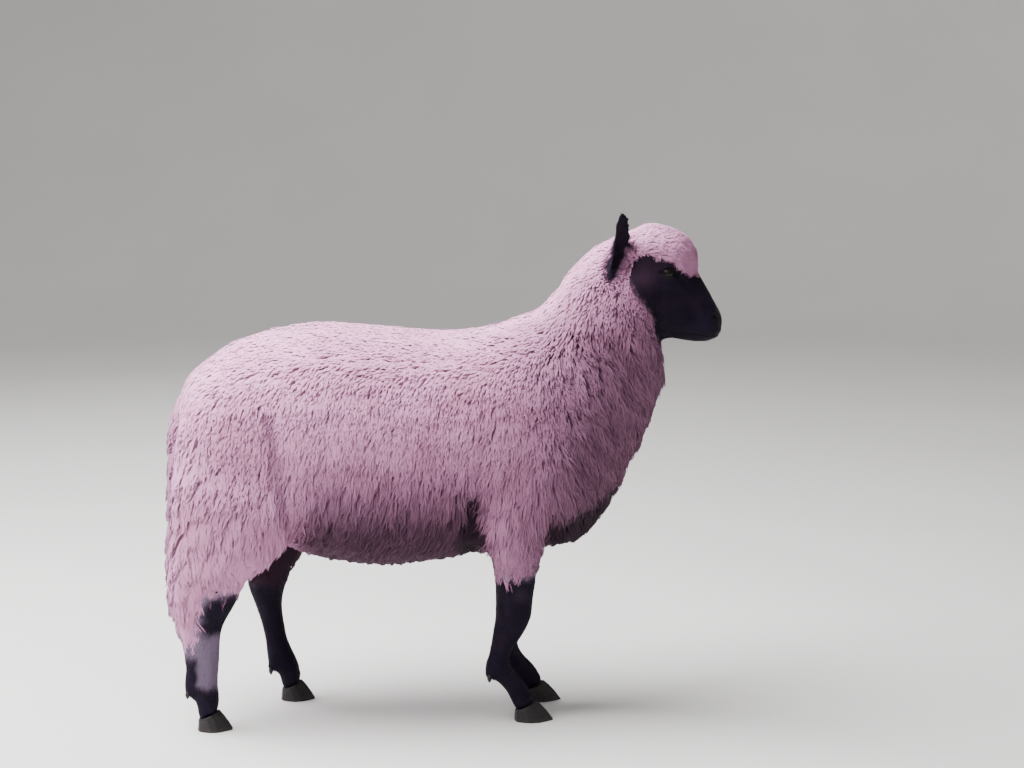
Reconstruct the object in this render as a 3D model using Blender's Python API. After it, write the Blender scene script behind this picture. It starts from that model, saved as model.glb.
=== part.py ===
"""A life-size ewe of a dark-faced Down breed, standing still in full fleece.

Frame: metres, +Z up. The ewe faces +X and her right side is -Y. Her hooves stand on Z = 0, and the
origin is at the bottom centre of her bounding box.

Her flesh is lofted whole, out to the tips of the coat, then parted with thin cuts into head, neck,
trunk and legs. Ears, eyes, tail and claws are solids of their own.
"""

import math
from collections import namedtuple

import bmesh
import bpy
from mathutils import Matrix, Vector

# Clearance between neighbouring solids, and the sizes that drive the surface.
GAP = 0.0003
SKIN_VOXEL = 0.0045
SMOOTHING_ROUNDS = 12
SMOOTHING_SHARE = 0.5
FLESH_TRIANGLES = 4500
RING_POINTS = 32
STEPS_BETWEEN_SECTIONS = 5
BALL_SUBDIVISIONS = 3
EYE_SUBDIVISIONS = 2
SHARP_ANGLE = math.radians(40)

# A section is an upright oval: its leading and trailing points in the XZ plane, its place across
# the body, its half-width and how square it is (2 is an ellipse).
Section = namedtuple("Section", "lead trail y half square", defaults=(2.0,))

# Rump to poll: the back line, the belly line and the half-width in fleece.
BODY = [
    Section((-0.606, 0.585), (-0.612, 0.450), 0.0, 0.066),
    Section((-0.588, 0.638), (-0.596, 0.400), 0.0, 0.124),
    Section((-0.525, 0.688), (-0.525, 0.362), 0.0, 0.158, 2.2),
    Section((-0.443, 0.718), (-0.430, 0.324), 0.0, 0.176, 2.3),
    Section((-0.342, 0.732), (-0.340, 0.294), 0.0, 0.188, 2.3),
    Section((-0.230, 0.723), (-0.235, 0.283), 0.0, 0.193, 2.3),
    Section((-0.120, 0.715), (-0.130, 0.292), 0.0, 0.186, 2.3),
    Section((-0.040, 0.723), (-0.040, 0.302), 0.0, 0.174, 2.2),
    Section((0.014, 0.741), (0.060, 0.308), 0.0, 0.163, 2.1),
    Section((0.052, 0.758), (0.126, 0.322), 0.0, 0.153),
    Section((0.080, 0.787), (0.182, 0.388), 0.0, 0.140),
    Section((0.104, 0.822), (0.231, 0.478), 0.0, 0.123),
    Section((0.130, 0.850), (0.265, 0.560), 0.0, 0.108),
    Section((0.158, 0.872), (0.284, 0.625), 0.0, 0.096),
    Section((0.185, 0.884), (0.279, 0.675), 0.0, 0.086),
    Section((0.212, 0.890), (0.262, 0.722), 0.0, 0.074),
]

# The head is made looking straight ahead and is then turned a little to her right, about an upright
# axis through the poll.
HEAD_TURN = math.radians(-9)
HEAD_AXIS = Vector((0.190, 0.0, 0.0))

# Poll to lips: the line of forehead and nose, and the line of the jaw.
HEAD = [
    Section((0.190, 0.882), (0.186, 0.790), 0.0, 0.054),
    Section((0.236, 0.890), (0.200, 0.744), 0.0, 0.062),
    Section((0.288, 0.874), (0.228, 0.720), 0.0, 0.060, 2.2),
    Section((0.327, 0.841), (0.256, 0.706), 0.0, 0.053, 2.3),
    Section((0.351, 0.806), (0.284, 0.700), 0.0, 0.044, 2.3),
    Section((0.368, 0.776), (0.312, 0.696), 0.0, 0.0385, 2.4),
    Section((0.384, 0.748), (0.338, 0.692), 0.0, 0.037, 2.4),
    Section((0.389, 0.723), (0.357, 0.693), 0.0, 0.032, 2.2),
    Section((0.384, 0.708), (0.367, 0.698), 0.0, 0.018),
]

# Rounded masses laid over the lofts: centre, half-lengths along X, Y, Z and tilt about Y in degrees.
# Those off the middle are repeated on the other side.
Mass = namedtuple("Mass", "name centre half tilt")
HEAD_MASSES = [
    Mass("topknot", (0.274, 0.0, 0.858), (0.067, 0.063, 0.046), 22),
    Mass("poll_wool", (0.236, 0.0, 0.852), (0.076, 0.071, 0.044), 2),
    Mass("cheek_wool", (0.222, 0.046, 0.790), (0.046, 0.038, 0.080), 20),
    Mass("cheek", (0.292, 0.028, 0.752), (0.040, 0.029, 0.046), 42),
    Mass("brow", (0.293, 0.034, 0.832), (0.026, 0.0265, 0.018), 45),
    Mass("nostril_wing", (0.372, 0.017, 0.739), (0.015, 0.018, 0.016), 45),
    Mass("upper_lip", (0.368, 0.014, 0.712), (0.019, 0.021, 0.014), 20),
]
BODY_MASSES = [
    Mass("shoulder", (0.045, 0.098, 0.500), (0.100, 0.072, 0.140), -14),
    Mass("haunch", (-0.495, 0.084, 0.505), (0.125, 0.086, 0.165), 10),
]

# Legs, from the body down to the fetlock. The right legs are the near ones, on the -Y side.
FORE_RIGHT = [
    Section((0.100, 0.500), (-0.090, 0.560), -0.095, 0.060),
    Section((0.095, 0.430), (-0.092, 0.440), -0.106, 0.062),
    Section((0.068, 0.378), (-0.088, 0.385), -0.107, 0.057),
    Section((0.060, 0.335), (-0.073, 0.338), -0.104, 0.050),
    Section((0.048, 0.300), (-0.050, 0.302), -0.099, 0.043),
    Section((0.038, 0.268), (-0.040, 0.268), -0.095, 0.037),
    Section((0.032, 0.230), (-0.036, 0.230), -0.092, 0.031, 2.3),
    Section((0.029, 0.197), (-0.039, 0.193), -0.090, 0.031, 2.3),
    Section((0.015, 0.163), (-0.045, 0.160), -0.088, 0.024),
    Section((-0.006, 0.132), (-0.050, 0.128), -0.086, 0.020),
    Section((-0.008, 0.104), (-0.057, 0.096), -0.084, 0.026),
]
FORE_LEFT = [
    Section((0.110, 0.500), (-0.080, 0.560), 0.095, 0.060),
    Section((0.100, 0.430), (-0.088, 0.440), 0.104, 0.062),
    Section((0.078, 0.378), (-0.082, 0.385), 0.104, 0.057),
    Section((0.068, 0.335), (-0.068, 0.338), 0.100, 0.050),
    Section((0.056, 0.300), (-0.045, 0.302), 0.094, 0.043),
    Section((0.047, 0.268), (-0.034, 0.268), 0.088, 0.037),
    Section((0.042, 0.230), (-0.027, 0.230), 0.082, 0.031, 2.3),
    Section((0.041, 0.197), (-0.026, 0.193), 0.077, 0.031, 2.3),
    Section((0.030, 0.163), (-0.028, 0.160), 0.071, 0.024),
    Section((0.018, 0.128), (-0.028, 0.122), 0.066, 0.020),
    Section((0.020, 0.098), (-0.031, 0.086), 0.062, 0.026),
]
HIND_RIGHT = [
    Section((-0.395, 0.505), (-0.588, 0.560), -0.086, 0.066),
    Section((-0.345, 0.430), (-0.622, 0.475), -0.106, 0.075),
    Section((-0.378, 0.375), (-0.628, 0.380), -0.110, 0.070),
    Section((-0.428, 0.318), (-0.634, 0.312), -0.112, 0.060),
    Section((-0.484, 0.276), (-0.637, 0.264), -0.110, 0.047),
    Section((-0.510, 0.232), (-0.633, 0.225), -0.108, 0.038),
    Section((-0.532, 0.192), (-0.621, 0.186), -0.107, 0.031),
    Section((-0.538, 0.155), (-0.608, 0.152), -0.106, 0.026),
    Section((-0.539, 0.120), (-0.603, 0.114), -0.105, 0.024),
    Section((-0.543, 0.090), (-0.604, 0.080), -0.104, 0.027),
]
HIND_LEFT = [
    Section((-0.395, 0.505), (-0.588, 0.560), 0.086, 0.066),
    Section((-0.335, 0.430), (-0.612, 0.475), 0.106, 0.075),
    Section((-0.340, 0.370), (-0.580, 0.385), 0.110, 0.070),
    Section((-0.366, 0.315), (-0.535, 0.322), 0.112, 0.057),
    Section((-0.393, 0.269), (-0.506, 0.264), 0.110, 0.044),
    Section((-0.418, 0.224), (-0.492, 0.218), 0.108, 0.034),
    Section((-0.426, 0.188), (-0.479, 0.182), 0.106, 0.026),
    Section((-0.423, 0.150), (-0.467, 0.142), 0.104, 0.021),
    Section((-0.416, 0.115), (-0.460, 0.106), 0.103, 0.021),
    Section((-0.404, 0.088), (-0.456, 0.074), 0.102, 0.026),
]

# Feet: one hoof of two claws. The coronet is the slanting top edge of the claws, given by its front
# and back points in the XZ plane, measured from the heel on the ground.
FORE_CLAW_LENGTH = 0.074
HIND_CLAW_LENGTH = 0.066
CLAW_WIDTH = 0.0245
CLAW_CLEFT = 0.0035
CLAW_POINTS = 14
CLAW_RINGS = 4
CLAW_NARROWING = 0.10
CLAW_HEEL_ROUNDING = 0.18
CLAW_BOW_POWER = 1.15
CLAW_TOE_BLUNTNESS = 0.05
CORONET_FRONT = Vector((0.040, 0.038))
CORONET_BACK = Vector((0.002, 0.021))
CORONET_BLOCK = (0.14, 0.12, 0.06)
PASTERN_HALF = 0.0235
PASTERN_FRONT_RISE = Vector((0.003, 0.002))
PASTERN_BACK_RISE = Vector((0.006, 0.004))
FOOT_HALF = 0.0245
FOOT_SQUARE = 2.3
BELOW_CORONET = Vector((0.008, -0.024))

# Dewclaws: two bumps behind each fetlock, set down and in from its rearmost point.
DEWCLAW_HALF = (0.010, 0.0085, 0.012)
DEWCLAW_SPREAD = 0.0150
DEWCLAW_IN = 0.005
DEWCLAW_DOWN = 0.008

# A part of a leg: the height and slope of the cut above it, that cut's size along and across the
# body, and the height of the part's middle.
LegPart = namedtuple("LegPart", "name top slope length width middle")
FORE_PARTS = (
    LegPart("forearm", 0.286, 0, 0.24, 0.20, 0.24),
    LegPart("cannon", 0.195, 0, 0.17, 0.10, 0.13),
)
HIND_PARTS = (
    LegPart("gaskin", 0.272, 0, 0.26, 0.20, 0.24),
    LegPart("cannon", 0.208, 6, 0.17, 0.10, 0.13),
)

Leg = namedtuple("Leg", "name sections heel_x claw_length parts")
LEGS = [
    Leg("fore_right", FORE_RIGHT, -0.003, FORE_CLAW_LENGTH, FORE_PARTS),
    Leg("fore_left", FORE_LEFT, 0.025, FORE_CLAW_LENGTH, FORE_PARTS),
    Leg("hind_right", HIND_RIGHT, -0.582, HIND_CLAW_LENGTH, HIND_PARTS),
    Leg("hind_left", HIND_LEFT, -0.432, HIND_CLAW_LENGTH, HIND_PARTS),
]

# Tail: it hangs close behind the rump to just above the hocks.
TAIL = [
    Section((-0.572, 0.612), (-0.596, 0.616), 0.0, 0.012),
    Section((-0.578, 0.590), (-0.614, 0.594), 0.0, 0.028),
    Section((-0.586, 0.550), (-0.629, 0.550), 0.0, 0.034),
    Section((-0.592, 0.500), (-0.635, 0.498), 0.0, 0.034),
    Section((-0.596, 0.440), (-0.638, 0.438), 0.0, 0.032),
    Section((-0.600, 0.375), (-0.639, 0.373), 0.0, 0.031),
    Section((-0.606, 0.315), (-0.642, 0.313), 0.0, 0.030),
    Section((-0.614, 0.268), (-0.643, 0.268), 0.0, 0.024),
    Section((-0.624, 0.240), (-0.638, 0.241), 0.0, 0.011),
]
TAIL_THINNING = 0.2

# Ears: an upright cupped leaf. The root and opening are those of the left ear, and the right ear
# mirrors them, but is held more upright. The cup is the leaf's bend as a share of a half turn.
EAR_LENGTH = 0.130
EAR_HALF_WIDTH = 0.029
EAR_THICKNESS = 0.0055
EAR_ROOT_CUP = 0.63
EAR_TIP_CUP = 0.30
EAR_ROOT = Vector((0.187, 0.050, 0.820))
EAR_UP = {"left": Vector((0.10, 0.76, 0.64)), "right": Vector((0.15, -0.46, 0.88))}
EAR_OPEN = Vector((0.82, 0.50, -0.10))
EAR_FORWARD_BOW = 0.006
EAR_STEPS_ALONG = 12
EAR_STEPS_ACROSS = 8
EAR_LEAF_POWERS = (0.72, 0.75)
EAR_TIP_NARROWING = 0.12
EAR_STEM_SHARE = 0.45
EAR_POINT_SHARE = 0.06

# Eyes.
EYE_RADIUS = 0.0135
EYE_CENTRE = Vector((0.287, 0.0445, 0.823))

# The cuts between the parts: a point on the cut, its slope in degrees and its size.
Cut = namedtuple("Cut", "centre slope length width")
HEAD_CUT = Cut((0.222, 0.0, 0.800), 126, 0.30, 0.30)
NECK_CUT = Cut((0.122, 0.0, 0.585), 110, 0.60, 0.50)

# Finishes: colour, roughness and metallic value.
FLEECE = ("fleece", (0.79, 0.68, 0.62), 0.95, 0.0)
DARK_HAIR = ("dark_hair", (0.040, 0.028, 0.026), 0.80, 0.0)
HORN = ("hoof_horn", (0.045, 0.038, 0.036), 0.45, 0.0)
EYE = ("eye", (0.080, 0.045, 0.018), 0.08, 0.0)

# The parts of head and body: a point near the middle of each, and its finish.
HEAD_AND_BODY = [
    ("head", DARK_HAIR, Vector((0.30, 0, 0.79))),
    ("neck", FLEECE, Vector((0.19, 0, 0.67))),
    ("trunk", FLEECE, Vector((-0.25, 0, 0.51))),
]
LEG_LOOKS = (FLEECE, DARK_HAIR)


def clear_scene():
    for obj in list(bpy.data.objects):
        bpy.data.objects.remove(obj)


def finish(name, colour, roughness, metallic):
    """The material of that name, made the first time it is asked for."""
    material = bpy.data.materials.get(name)
    if material is None:
        material = bpy.data.materials.new(name)
        material.use_nodes = True
        shader = material.node_tree.nodes["Principled BSDF"]
        shader.inputs["Base Color"].default_value = (*colour, 1.0)
        shader.inputs["Roughness"].default_value = roughness
        shader.inputs["Metallic"].default_value = metallic
    return material


def place(name, mesh):
    obj = bpy.data.objects.new(name, mesh)
    bpy.context.scene.collection.objects.link(obj)
    return obj


def dress(obj, look):
    """Gives the object its finish, smooth but for its true edges."""
    obj.data.materials.clear()
    obj.data.materials.append(finish(*look))
    obj.data.shade_smooth()
    obj.data.set_sharp_from_angle(angle=SHARP_ANGLE)


def helper(name, mesh):
    """An object that shapes others and isn't a part."""
    obj = place(name, mesh)
    obj.hide_render = True
    obj.display_type = "WIRE"
    return obj


def evaluated(obj):
    """A plain copy of the object's mesh with its modifiers applied."""
    bpy.context.view_layer.update()
    graph = bpy.context.evaluated_depsgraph_get()
    return bpy.data.meshes.new_from_object(obj.evaluated_get(graph))


def apply_modifiers(obj):
    obj.data = evaluated(obj)
    obj.modifiers.clear()


def cut_away(obj, cutter):
    boolean = obj.modifiers.new("cut", "BOOLEAN")
    boolean.operation = "DIFFERENCE"
    boolean.object = cutter
    apply_modifiers(obj)


def mesh_of(shape):
    """A mesh from a bmesh, with its normals pointing outwards."""
    bmesh.ops.recalc_face_normals(shape, faces=shape.faces)
    mesh = bpy.data.meshes.new("shape")
    shape.to_mesh(mesh)
    shape.free()
    return mesh


def eased(before, start, end, after, share):
    """A smooth value between start and end that heads from before and towards after."""
    square, cube = share**2, share**3
    return 0.5 * (
        2 * start
        + (end - before) * share
        + (2 * before - 5 * start + 4 * end - after) * square
        + (3 * start - before - 3 * end + after) * cube
    )


def numbers(section):
    return (*section.lead, *section.trail, section.y, section.half, section.square)


def smooth_sections(sections):
    """The sections with eased ones set between them, as rows of numbers."""
    rows = [numbers(s) for s in sections]
    padded = [rows[0], *rows, rows[-1]]
    found = []
    for i in range(len(rows) - 1):
        for step in range(STEPS_BETWEEN_SECTIONS):
            share = step / STEPS_BETWEEN_SECTIONS
            found.append([eased(*values, share) for values in zip(*padded[i : i + 4])])
    return [*found, rows[-1]]


def rounded(value, square):
    return math.copysign(abs(value) ** (2 / square), value)


def ring(row):
    """The points of one section's oval."""
    lead_x, lead_z, trail_x, trail_z, y, half, square = row
    centre = Vector(((lead_x + trail_x) / 2, y, (lead_z + trail_z) / 2))
    along = Vector(((lead_x - trail_x) / 2, 0, (lead_z - trail_z) / 2))
    points = []
    for k in range(RING_POINTS):
        angle = 2 * math.pi * k / RING_POINTS
        across = half * rounded(math.cos(angle), square)
        points.append(centre + along * rounded(math.sin(angle), square) + Vector((0, across, 0)))
    return points


def bridge(shape, rings, size):
    """Closes a stack of rings into one skin with two ends."""
    for first, second in zip(rings, rings[1:]):
        for k in range(size):
            after = (k + 1) % size
            shape.faces.new((first[k], first[after], second[after], second[k]))
    shape.faces.new(rings[0][::-1])
    shape.faces.new(rings[-1])


def loft(shape, sections):
    """Adds a closed skin through the sections to the bmesh."""
    rings = [[shape.verts.new(p) for p in ring(row)] for row in smooth_sections(sections)]
    bridge(shape, rings, RING_POINTS)


def head_turn():
    axis = Matrix.Translation(HEAD_AXIS)
    return axis @ Matrix.Rotation(HEAD_TURN, 4, "Z") @ axis.inverted()


def add_mass(shape, mass, side=1, turn=Matrix()):
    """Adds a tilted ellipsoid to the bmesh, on the given side of the body."""
    x, y, z = mass.centre
    matrix = (
        turn
        @ Matrix.Translation((x, side * y, z))
        @ Matrix.Rotation(math.radians(mass.tilt), 4, "Y")
        @ Matrix.Diagonal((*mass.half, 1.0))
    )
    bmesh.ops.create_icosphere(
        shape, subdivisions=BALL_SUBDIVISIONS, radius=1.0, matrix=matrix
    )


def foot_sections(leg):
    """The pastern, from the fetlock to just past the coronet."""
    fetlock = leg.sections[-1]
    heel = Vector((leg.heel_x, 0))
    front = heel + CORONET_FRONT
    back = heel + CORONET_BACK
    lead = Vector(fetlock.lead).lerp(front, 0.5) + PASTERN_FRONT_RISE
    trail = Vector(fetlock.trail).lerp(back, 0.5) + PASTERN_BACK_RISE
    end = (front + BELOW_CORONET, back + BELOW_CORONET)
    return [
        Section(tuple(lead), tuple(trail), fetlock.y, PASTERN_HALF),
        Section(tuple(front), tuple(back), fetlock.y, FOOT_HALF, FOOT_SQUARE),
        Section(tuple(end[0]), tuple(end[1]), fetlock.y, FOOT_HALF, FOOT_SQUARE),
    ]


def dewclaws(leg):
    fetlock = leg.sections[-1]
    x = fetlock.trail[0] + DEWCLAW_IN
    z = fetlock.trail[1] - DEWCLAW_DOWN
    places = [(x, fetlock.y + side * DEWCLAW_SPREAD, z) for side in (1, -1)]
    return [Mass("dewclaw", centre, DEWCLAW_HALF, 0) for centre in places]


def whole_flesh():
    """Body, head and legs as one smooth closed surface."""
    shape = bmesh.new()
    loft(shape, HEAD)
    bmesh.ops.transform(shape, matrix=head_turn(), verts=shape.verts)
    loft(shape, BODY)
    for leg in LEGS:
        loft(shape, leg.sections + foot_sections(leg))
        for dewclaw in dewclaws(leg):
            add_mass(shape, dewclaw)
    for masses, turn in ((HEAD_MASSES, head_turn()), (BODY_MASSES, Matrix())):
        for mass in masses:
            for side in (1, -1) if mass.centre[1] else (1,):
                add_mass(shape, mass, side, turn)
    flesh = helper("whole_flesh", mesh_of(shape))
    union = flesh.modifiers.new("union", "REMESH")
    union.mode = "VOXEL"
    union.voxel_size = SKIN_VOXEL
    smooth = flesh.modifiers.new("smooth", "SMOOTH")
    smooth.factor = SMOOTHING_SHARE
    smooth.iterations = SMOOTHING_ROUNDS
    apply_modifiers(flesh)
    flesh.data.calc_loop_triangles()
    thin = flesh.modifiers.new("thin", "DECIMATE")
    thin.ratio = FLESH_TRIANGLES / len(flesh.data.loop_triangles)
    apply_modifiers(flesh)
    return flesh


def plate(shape, cut, thickness):
    """Adds a thin plate along a cut to the bmesh."""
    matrix = (
        Matrix.Translation(cut.centre)
        @ Matrix.Rotation(-math.radians(cut.slope), 4, "Y")
        @ Matrix.Diagonal((cut.length, cut.width, thickness, 1.0))
    )
    bmesh.ops.create_cube(shape, size=1.0, matrix=matrix)


def leg_point(leg, height):
    """The middle of a leg near a height, and that height."""
    near = min(leg.sections, key=lambda s: abs((s.lead[1] + s.trail[1]) / 2 - height))
    return Vector(((near.lead[0] + near.trail[0]) / 2, near.y, height))


def leg_cut(leg, part):
    """The cut across a leg above one of its parts."""
    return Cut(leg_point(leg, part.top), -part.slope, part.length, part.width)


def coronet_block(shape, leg):
    """Adds the block that takes away what lies under the coronet."""
    rise = CORONET_FRONT - CORONET_BACK
    middle = (CORONET_FRONT + CORONET_BACK) / 2
    matrix = (
        Matrix.Translation((leg.heel_x + middle.x, leg.sections[-1].y, middle.y))
        @ Matrix.Rotation(-math.atan2(rise.y, rise.x), 4, "Y")
        @ Matrix.Translation((0, 0, -CORONET_BLOCK[2] / 2))
        @ Matrix.Diagonal((*CORONET_BLOCK, 1.0))
    )
    bmesh.ops.create_cube(shape, size=1.0, matrix=matrix)


def eye_place(side):
    return head_turn() @ Vector((EYE_CENTRE.x, side * EYE_CENTRE.y, EYE_CENTRE.z))


def eye_ball(shape, radius, centre):
    bmesh.ops.create_icosphere(
        shape,
        subdivisions=EYE_SUBDIVISIONS,
        radius=radius,
        matrix=Matrix.Translation(centre),
    )


def part_flesh(flesh):
    """Cuts the sockets, the coronets and the joints between parts out of the flesh."""
    tools = bmesh.new()
    for side in (1, -1):
        eye_ball(tools, EYE_RADIUS + GAP, eye_place(side))
    for leg in LEGS:
        coronet_block(tools, leg)
    cut_away(flesh, helper("sockets_and_coronets", mesh_of(tools)))
    for cut in (HEAD_CUT, NECK_CUT):
        tools = bmesh.new()
        plate(tools, cut, GAP)
        cut_away(flesh, helper("cutting_plate", mesh_of(tools)))
    tools = bmesh.new()
    for leg in LEGS:
        for part in leg.parts:
            plate(tools, leg_cut(leg, part), GAP)
    cut_away(flesh, helper("leg_plates", mesh_of(tools)))


def loose_parts(mesh):
    """The separate bodies of a mesh, each as a mesh of its own."""
    whole = bmesh.new()
    whole.from_mesh(mesh)
    unseen, groups = set(whole.verts), []
    while unseen:
        group, edge = set(), {unseen.pop()}
        while edge:
            group |= edge
            edge = {e.other_vert(v) for v in edge for e in v.link_edges} - group
        unseen -= group
        groups.append({v.index for v in group})
    whole.free()
    meshes = []
    for keep in groups:
        piece = bmesh.new()
        piece.from_mesh(mesh)
        gone = [v for v in piece.verts if v.index not in keep]
        bmesh.ops.delete(piece, geom=gone, context="VERTS")
        meshes.append(mesh_of(piece))
    return meshes


def keep_largest(obj):
    """Drops the crumbs that a cut can leave beside the main body."""
    obj.data = max(loose_parts(obj.data), key=lambda m: len(m.vertices))


def middle_of(mesh):
    return sum((v.co for v in mesh.vertices), Vector()) / len(mesh.vertices)


def name_flesh(flesh):
    """Makes each separate body of the flesh an object, named for the point that it lies nearest."""
    wanted = list(HEAD_AND_BODY)
    for leg in LEGS:
        for part, look in zip(leg.parts, LEG_LOOKS):
            wanted.append((f"{leg.name}_{part.name}", look, leg_point(leg, part.middle)))
    bodies = loose_parts(flesh.data)
    if len(bodies) != len(wanted):
        raise RuntimeError(f"the flesh is in {len(bodies)} bodies, for {len(wanted)} names")
    for name, look, middle in wanted:
        mesh = min(bodies, key=lambda m: (middle_of(m) - middle).length)
        bodies.remove(mesh)
        dress(place(name, mesh), look)


def grown(obj, name):
    """A helper a gap larger than the object all over, to cut what meets it."""
    bigger = helper(name, obj.data.copy())
    swell = bigger.modifiers.new("swell", "DISPLACE")
    swell.strength = GAP
    swell.mid_level = 0.0
    apply_modifiers(bigger)
    return bigger


def ear_half_width(share):
    """The ear's half-width at a share of its length: a stem, a broad leaf and a blunt point."""
    spread, roundness = EAR_LEAF_POWERS
    leaf = math.sin(math.pi * share**spread) ** roundness * (1 - EAR_TIP_NARROWING * share)
    stem = EAR_STEM_SHARE * (1 - share) ** 2
    return EAR_HALF_WIDTH * max(leaf, stem, EAR_POINT_SHARE)


def ear_mesh(side, up):
    """A cupped leaf, one face thick."""
    up = up.normalized()
    face = Vector((EAR_OPEN.x, side * EAR_OPEN.y, EAR_OPEN.z))
    face = (face - up * face.dot(up)).normalized()
    across = up.cross(face)
    root = Vector((EAR_ROOT.x, side * EAR_ROOT.y, EAR_ROOT.z))
    shape = bmesh.new()
    rows = []
    for i in range(EAR_STEPS_ALONG + 1):
        share = i / EAR_STEPS_ALONG
        bend = math.pi * (EAR_ROOT_CUP + (EAR_TIP_CUP - EAR_ROOT_CUP) * share)
        radius = ear_half_width(share) / math.sin(bend / 2)
        bow = EAR_FORWARD_BOW * math.sin(math.pi * share)
        middle_depth = (1 - math.cos(bend / 2)) / 2
        axis = root + up * EAR_LENGTH * share + face * bow
        row = []
        for j in range(EAR_STEPS_ACROSS + 1):
            angle = bend * (j / EAR_STEPS_ACROSS - 0.5)
            out = across * radius * math.sin(angle)
            deep = face * radius * (1 - math.cos(angle) - middle_depth)
            row.append(shape.verts.new(axis + out + deep))
        rows.append(row)
    for first, second in zip(rows, rows[1:]):
        for j in range(EAR_STEPS_ACROSS):
            shape.faces.new((first[j], first[j + 1], second[j + 1], second[j]))
    bmesh.ops.transform(shape, matrix=head_turn(), verts=shape.verts)
    return mesh_of(shape)


def make_ears(body_cutter):
    for side, hand in ((1, "left"), (-1, "right")):
        ear = place(f"ear_{hand}", ear_mesh(side, EAR_UP[hand]))
        thick = ear.modifiers.new("thick", "SOLIDIFY")
        thick.thickness = EAR_THICKNESS
        thick.offset = 0.0
        thick.use_even_offset = True
        apply_modifiers(ear)
        cut_away(ear, body_cutter)
        keep_largest(ear)
        dress(ear, DARK_HAIR)


def make_tail(body_cutter):
    shape = bmesh.new()
    loft(shape, TAIL)
    tail = place("tail", mesh_of(shape))
    thin = tail.modifiers.new("thin", "DECIMATE")
    thin.ratio = TAIL_THINNING
    apply_modifiers(tail)
    cut_away(tail, body_cutter)
    keep_largest(tail)
    dress(tail, FLEECE)


def make_eyes():
    for side, name in ((1, "eye_left"), (-1, "eye_right")):
        shape = bmesh.new()
        eye_ball(shape, EYE_RADIUS, (0, 0, 0))
        eye = place(name, mesh_of(shape))
        eye.location = eye_place(side)
        dress(eye, EYE)


def claw_outline(length, width, inner):
    """A claw's rim seen from above: straight inside, bowed outside, pointed at the toe."""
    half = CLAW_POINTS // 2
    shares = [0.5 - 0.5 * math.cos(math.pi * k / half) for k in range(half + 1)]
    points = [(length * share, inner) for share in shares[:half]]
    for share in shares[:0:-1]:
        turn = CLAW_HEEL_ROUNDING + (1 - CLAW_HEEL_ROUNDING) * share
        bow = math.sin(math.pi * turn**CLAW_BOW_POWER)
        points.append((length * share, inner + width * max(bow, CLAW_TOE_BLUNTNESS)))
    return points


def claw_mesh(side, sole_length):
    """One claw: rings from the sole up to the slanting coronet, in the foot's own frame."""
    shape = bmesh.new()
    rings = []
    rise = CORONET_FRONT - CORONET_BACK
    for i in range(CLAW_RINGS):
        share = i / (CLAW_RINGS - 1)
        length = sole_length + (rise.x - sole_length) * share
        start = CORONET_BACK.x * share
        width = CLAW_WIDTH * (1.0 - CLAW_NARROWING * share)
        points = []
        for x, y in claw_outline(length, width, CLAW_CLEFT / 2):
            along = start + x - CORONET_BACK.x
            top = CORONET_BACK.y + rise.y / rise.x * along - 2 * GAP
            points.append(shape.verts.new((start + x, side * y, share * top)))
        rings.append(points)
    bridge(shape, rings, CLAW_POINTS)
    return mesh_of(shape)


def make_claws():
    for leg in LEGS:
        y = leg.sections[-1].y
        outward = math.copysign(1, y)
        for side, name in ((outward, "outer"), (-outward, "inner")):
            claw = place(f"{leg.name}_claw_{name}", claw_mesh(side, leg.claw_length))
            claw.location = (leg.heel_x, y, 0.0)
            dress(claw, HORN)


def centre_on_box():
    """Moves the whole ewe so that the origin is at the bottom centre of her box."""
    bpy.context.view_layer.update()
    parts = [o for o in bpy.data.objects if not o.hide_render]
    corners = [o.matrix_world @ v.co for o in parts for v in o.data.vertices]
    for axis in (0, 1):
        low = min(c[axis] for c in corners)
        high = max(c[axis] for c in corners)
        for obj in bpy.data.objects:
            obj.location[axis] -= (low + high) / 2


def build():
    clear_scene()
    flesh = whole_flesh()
    body_cutter = grown(flesh, "grown_flesh")
    part_flesh(flesh)
    name_flesh(flesh)
    make_ears(body_cutter)
    make_tail(body_cutter)
    make_eyes()
    make_claws()
    centre_on_box()


build()
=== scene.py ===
"""Looks of the standing ewe: her skin, lids, fleece, short hair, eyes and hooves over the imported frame."""

import math

import bmesh
import bpy
import numpy as np
from mathutils import Matrix, Vector
from mathutils.bvhtree import BVHTree


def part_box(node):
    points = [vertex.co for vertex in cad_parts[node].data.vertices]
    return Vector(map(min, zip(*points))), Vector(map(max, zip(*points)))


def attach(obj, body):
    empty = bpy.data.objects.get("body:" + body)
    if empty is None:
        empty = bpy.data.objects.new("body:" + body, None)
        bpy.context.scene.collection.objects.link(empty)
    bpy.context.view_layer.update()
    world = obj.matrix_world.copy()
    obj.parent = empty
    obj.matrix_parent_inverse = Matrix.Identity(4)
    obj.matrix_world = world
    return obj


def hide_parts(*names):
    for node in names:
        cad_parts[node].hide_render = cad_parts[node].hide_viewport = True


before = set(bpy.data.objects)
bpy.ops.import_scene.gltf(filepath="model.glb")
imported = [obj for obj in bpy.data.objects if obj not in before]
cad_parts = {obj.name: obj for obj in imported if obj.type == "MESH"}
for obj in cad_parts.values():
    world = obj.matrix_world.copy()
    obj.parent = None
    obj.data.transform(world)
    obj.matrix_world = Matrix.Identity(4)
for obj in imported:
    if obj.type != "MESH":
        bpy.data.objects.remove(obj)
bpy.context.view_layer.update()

bl_info = {
    "name": "Dark-faced ewe",
    "version": (1, 0, 0),
    "blender": (4, 5, 0),
    "location": "View3D > Sidebar > Ewe",
    "description": "Skin, fleece, short hair, eyes and hooves of a life-size standing ewe",
    "category": "Object",
}

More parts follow.
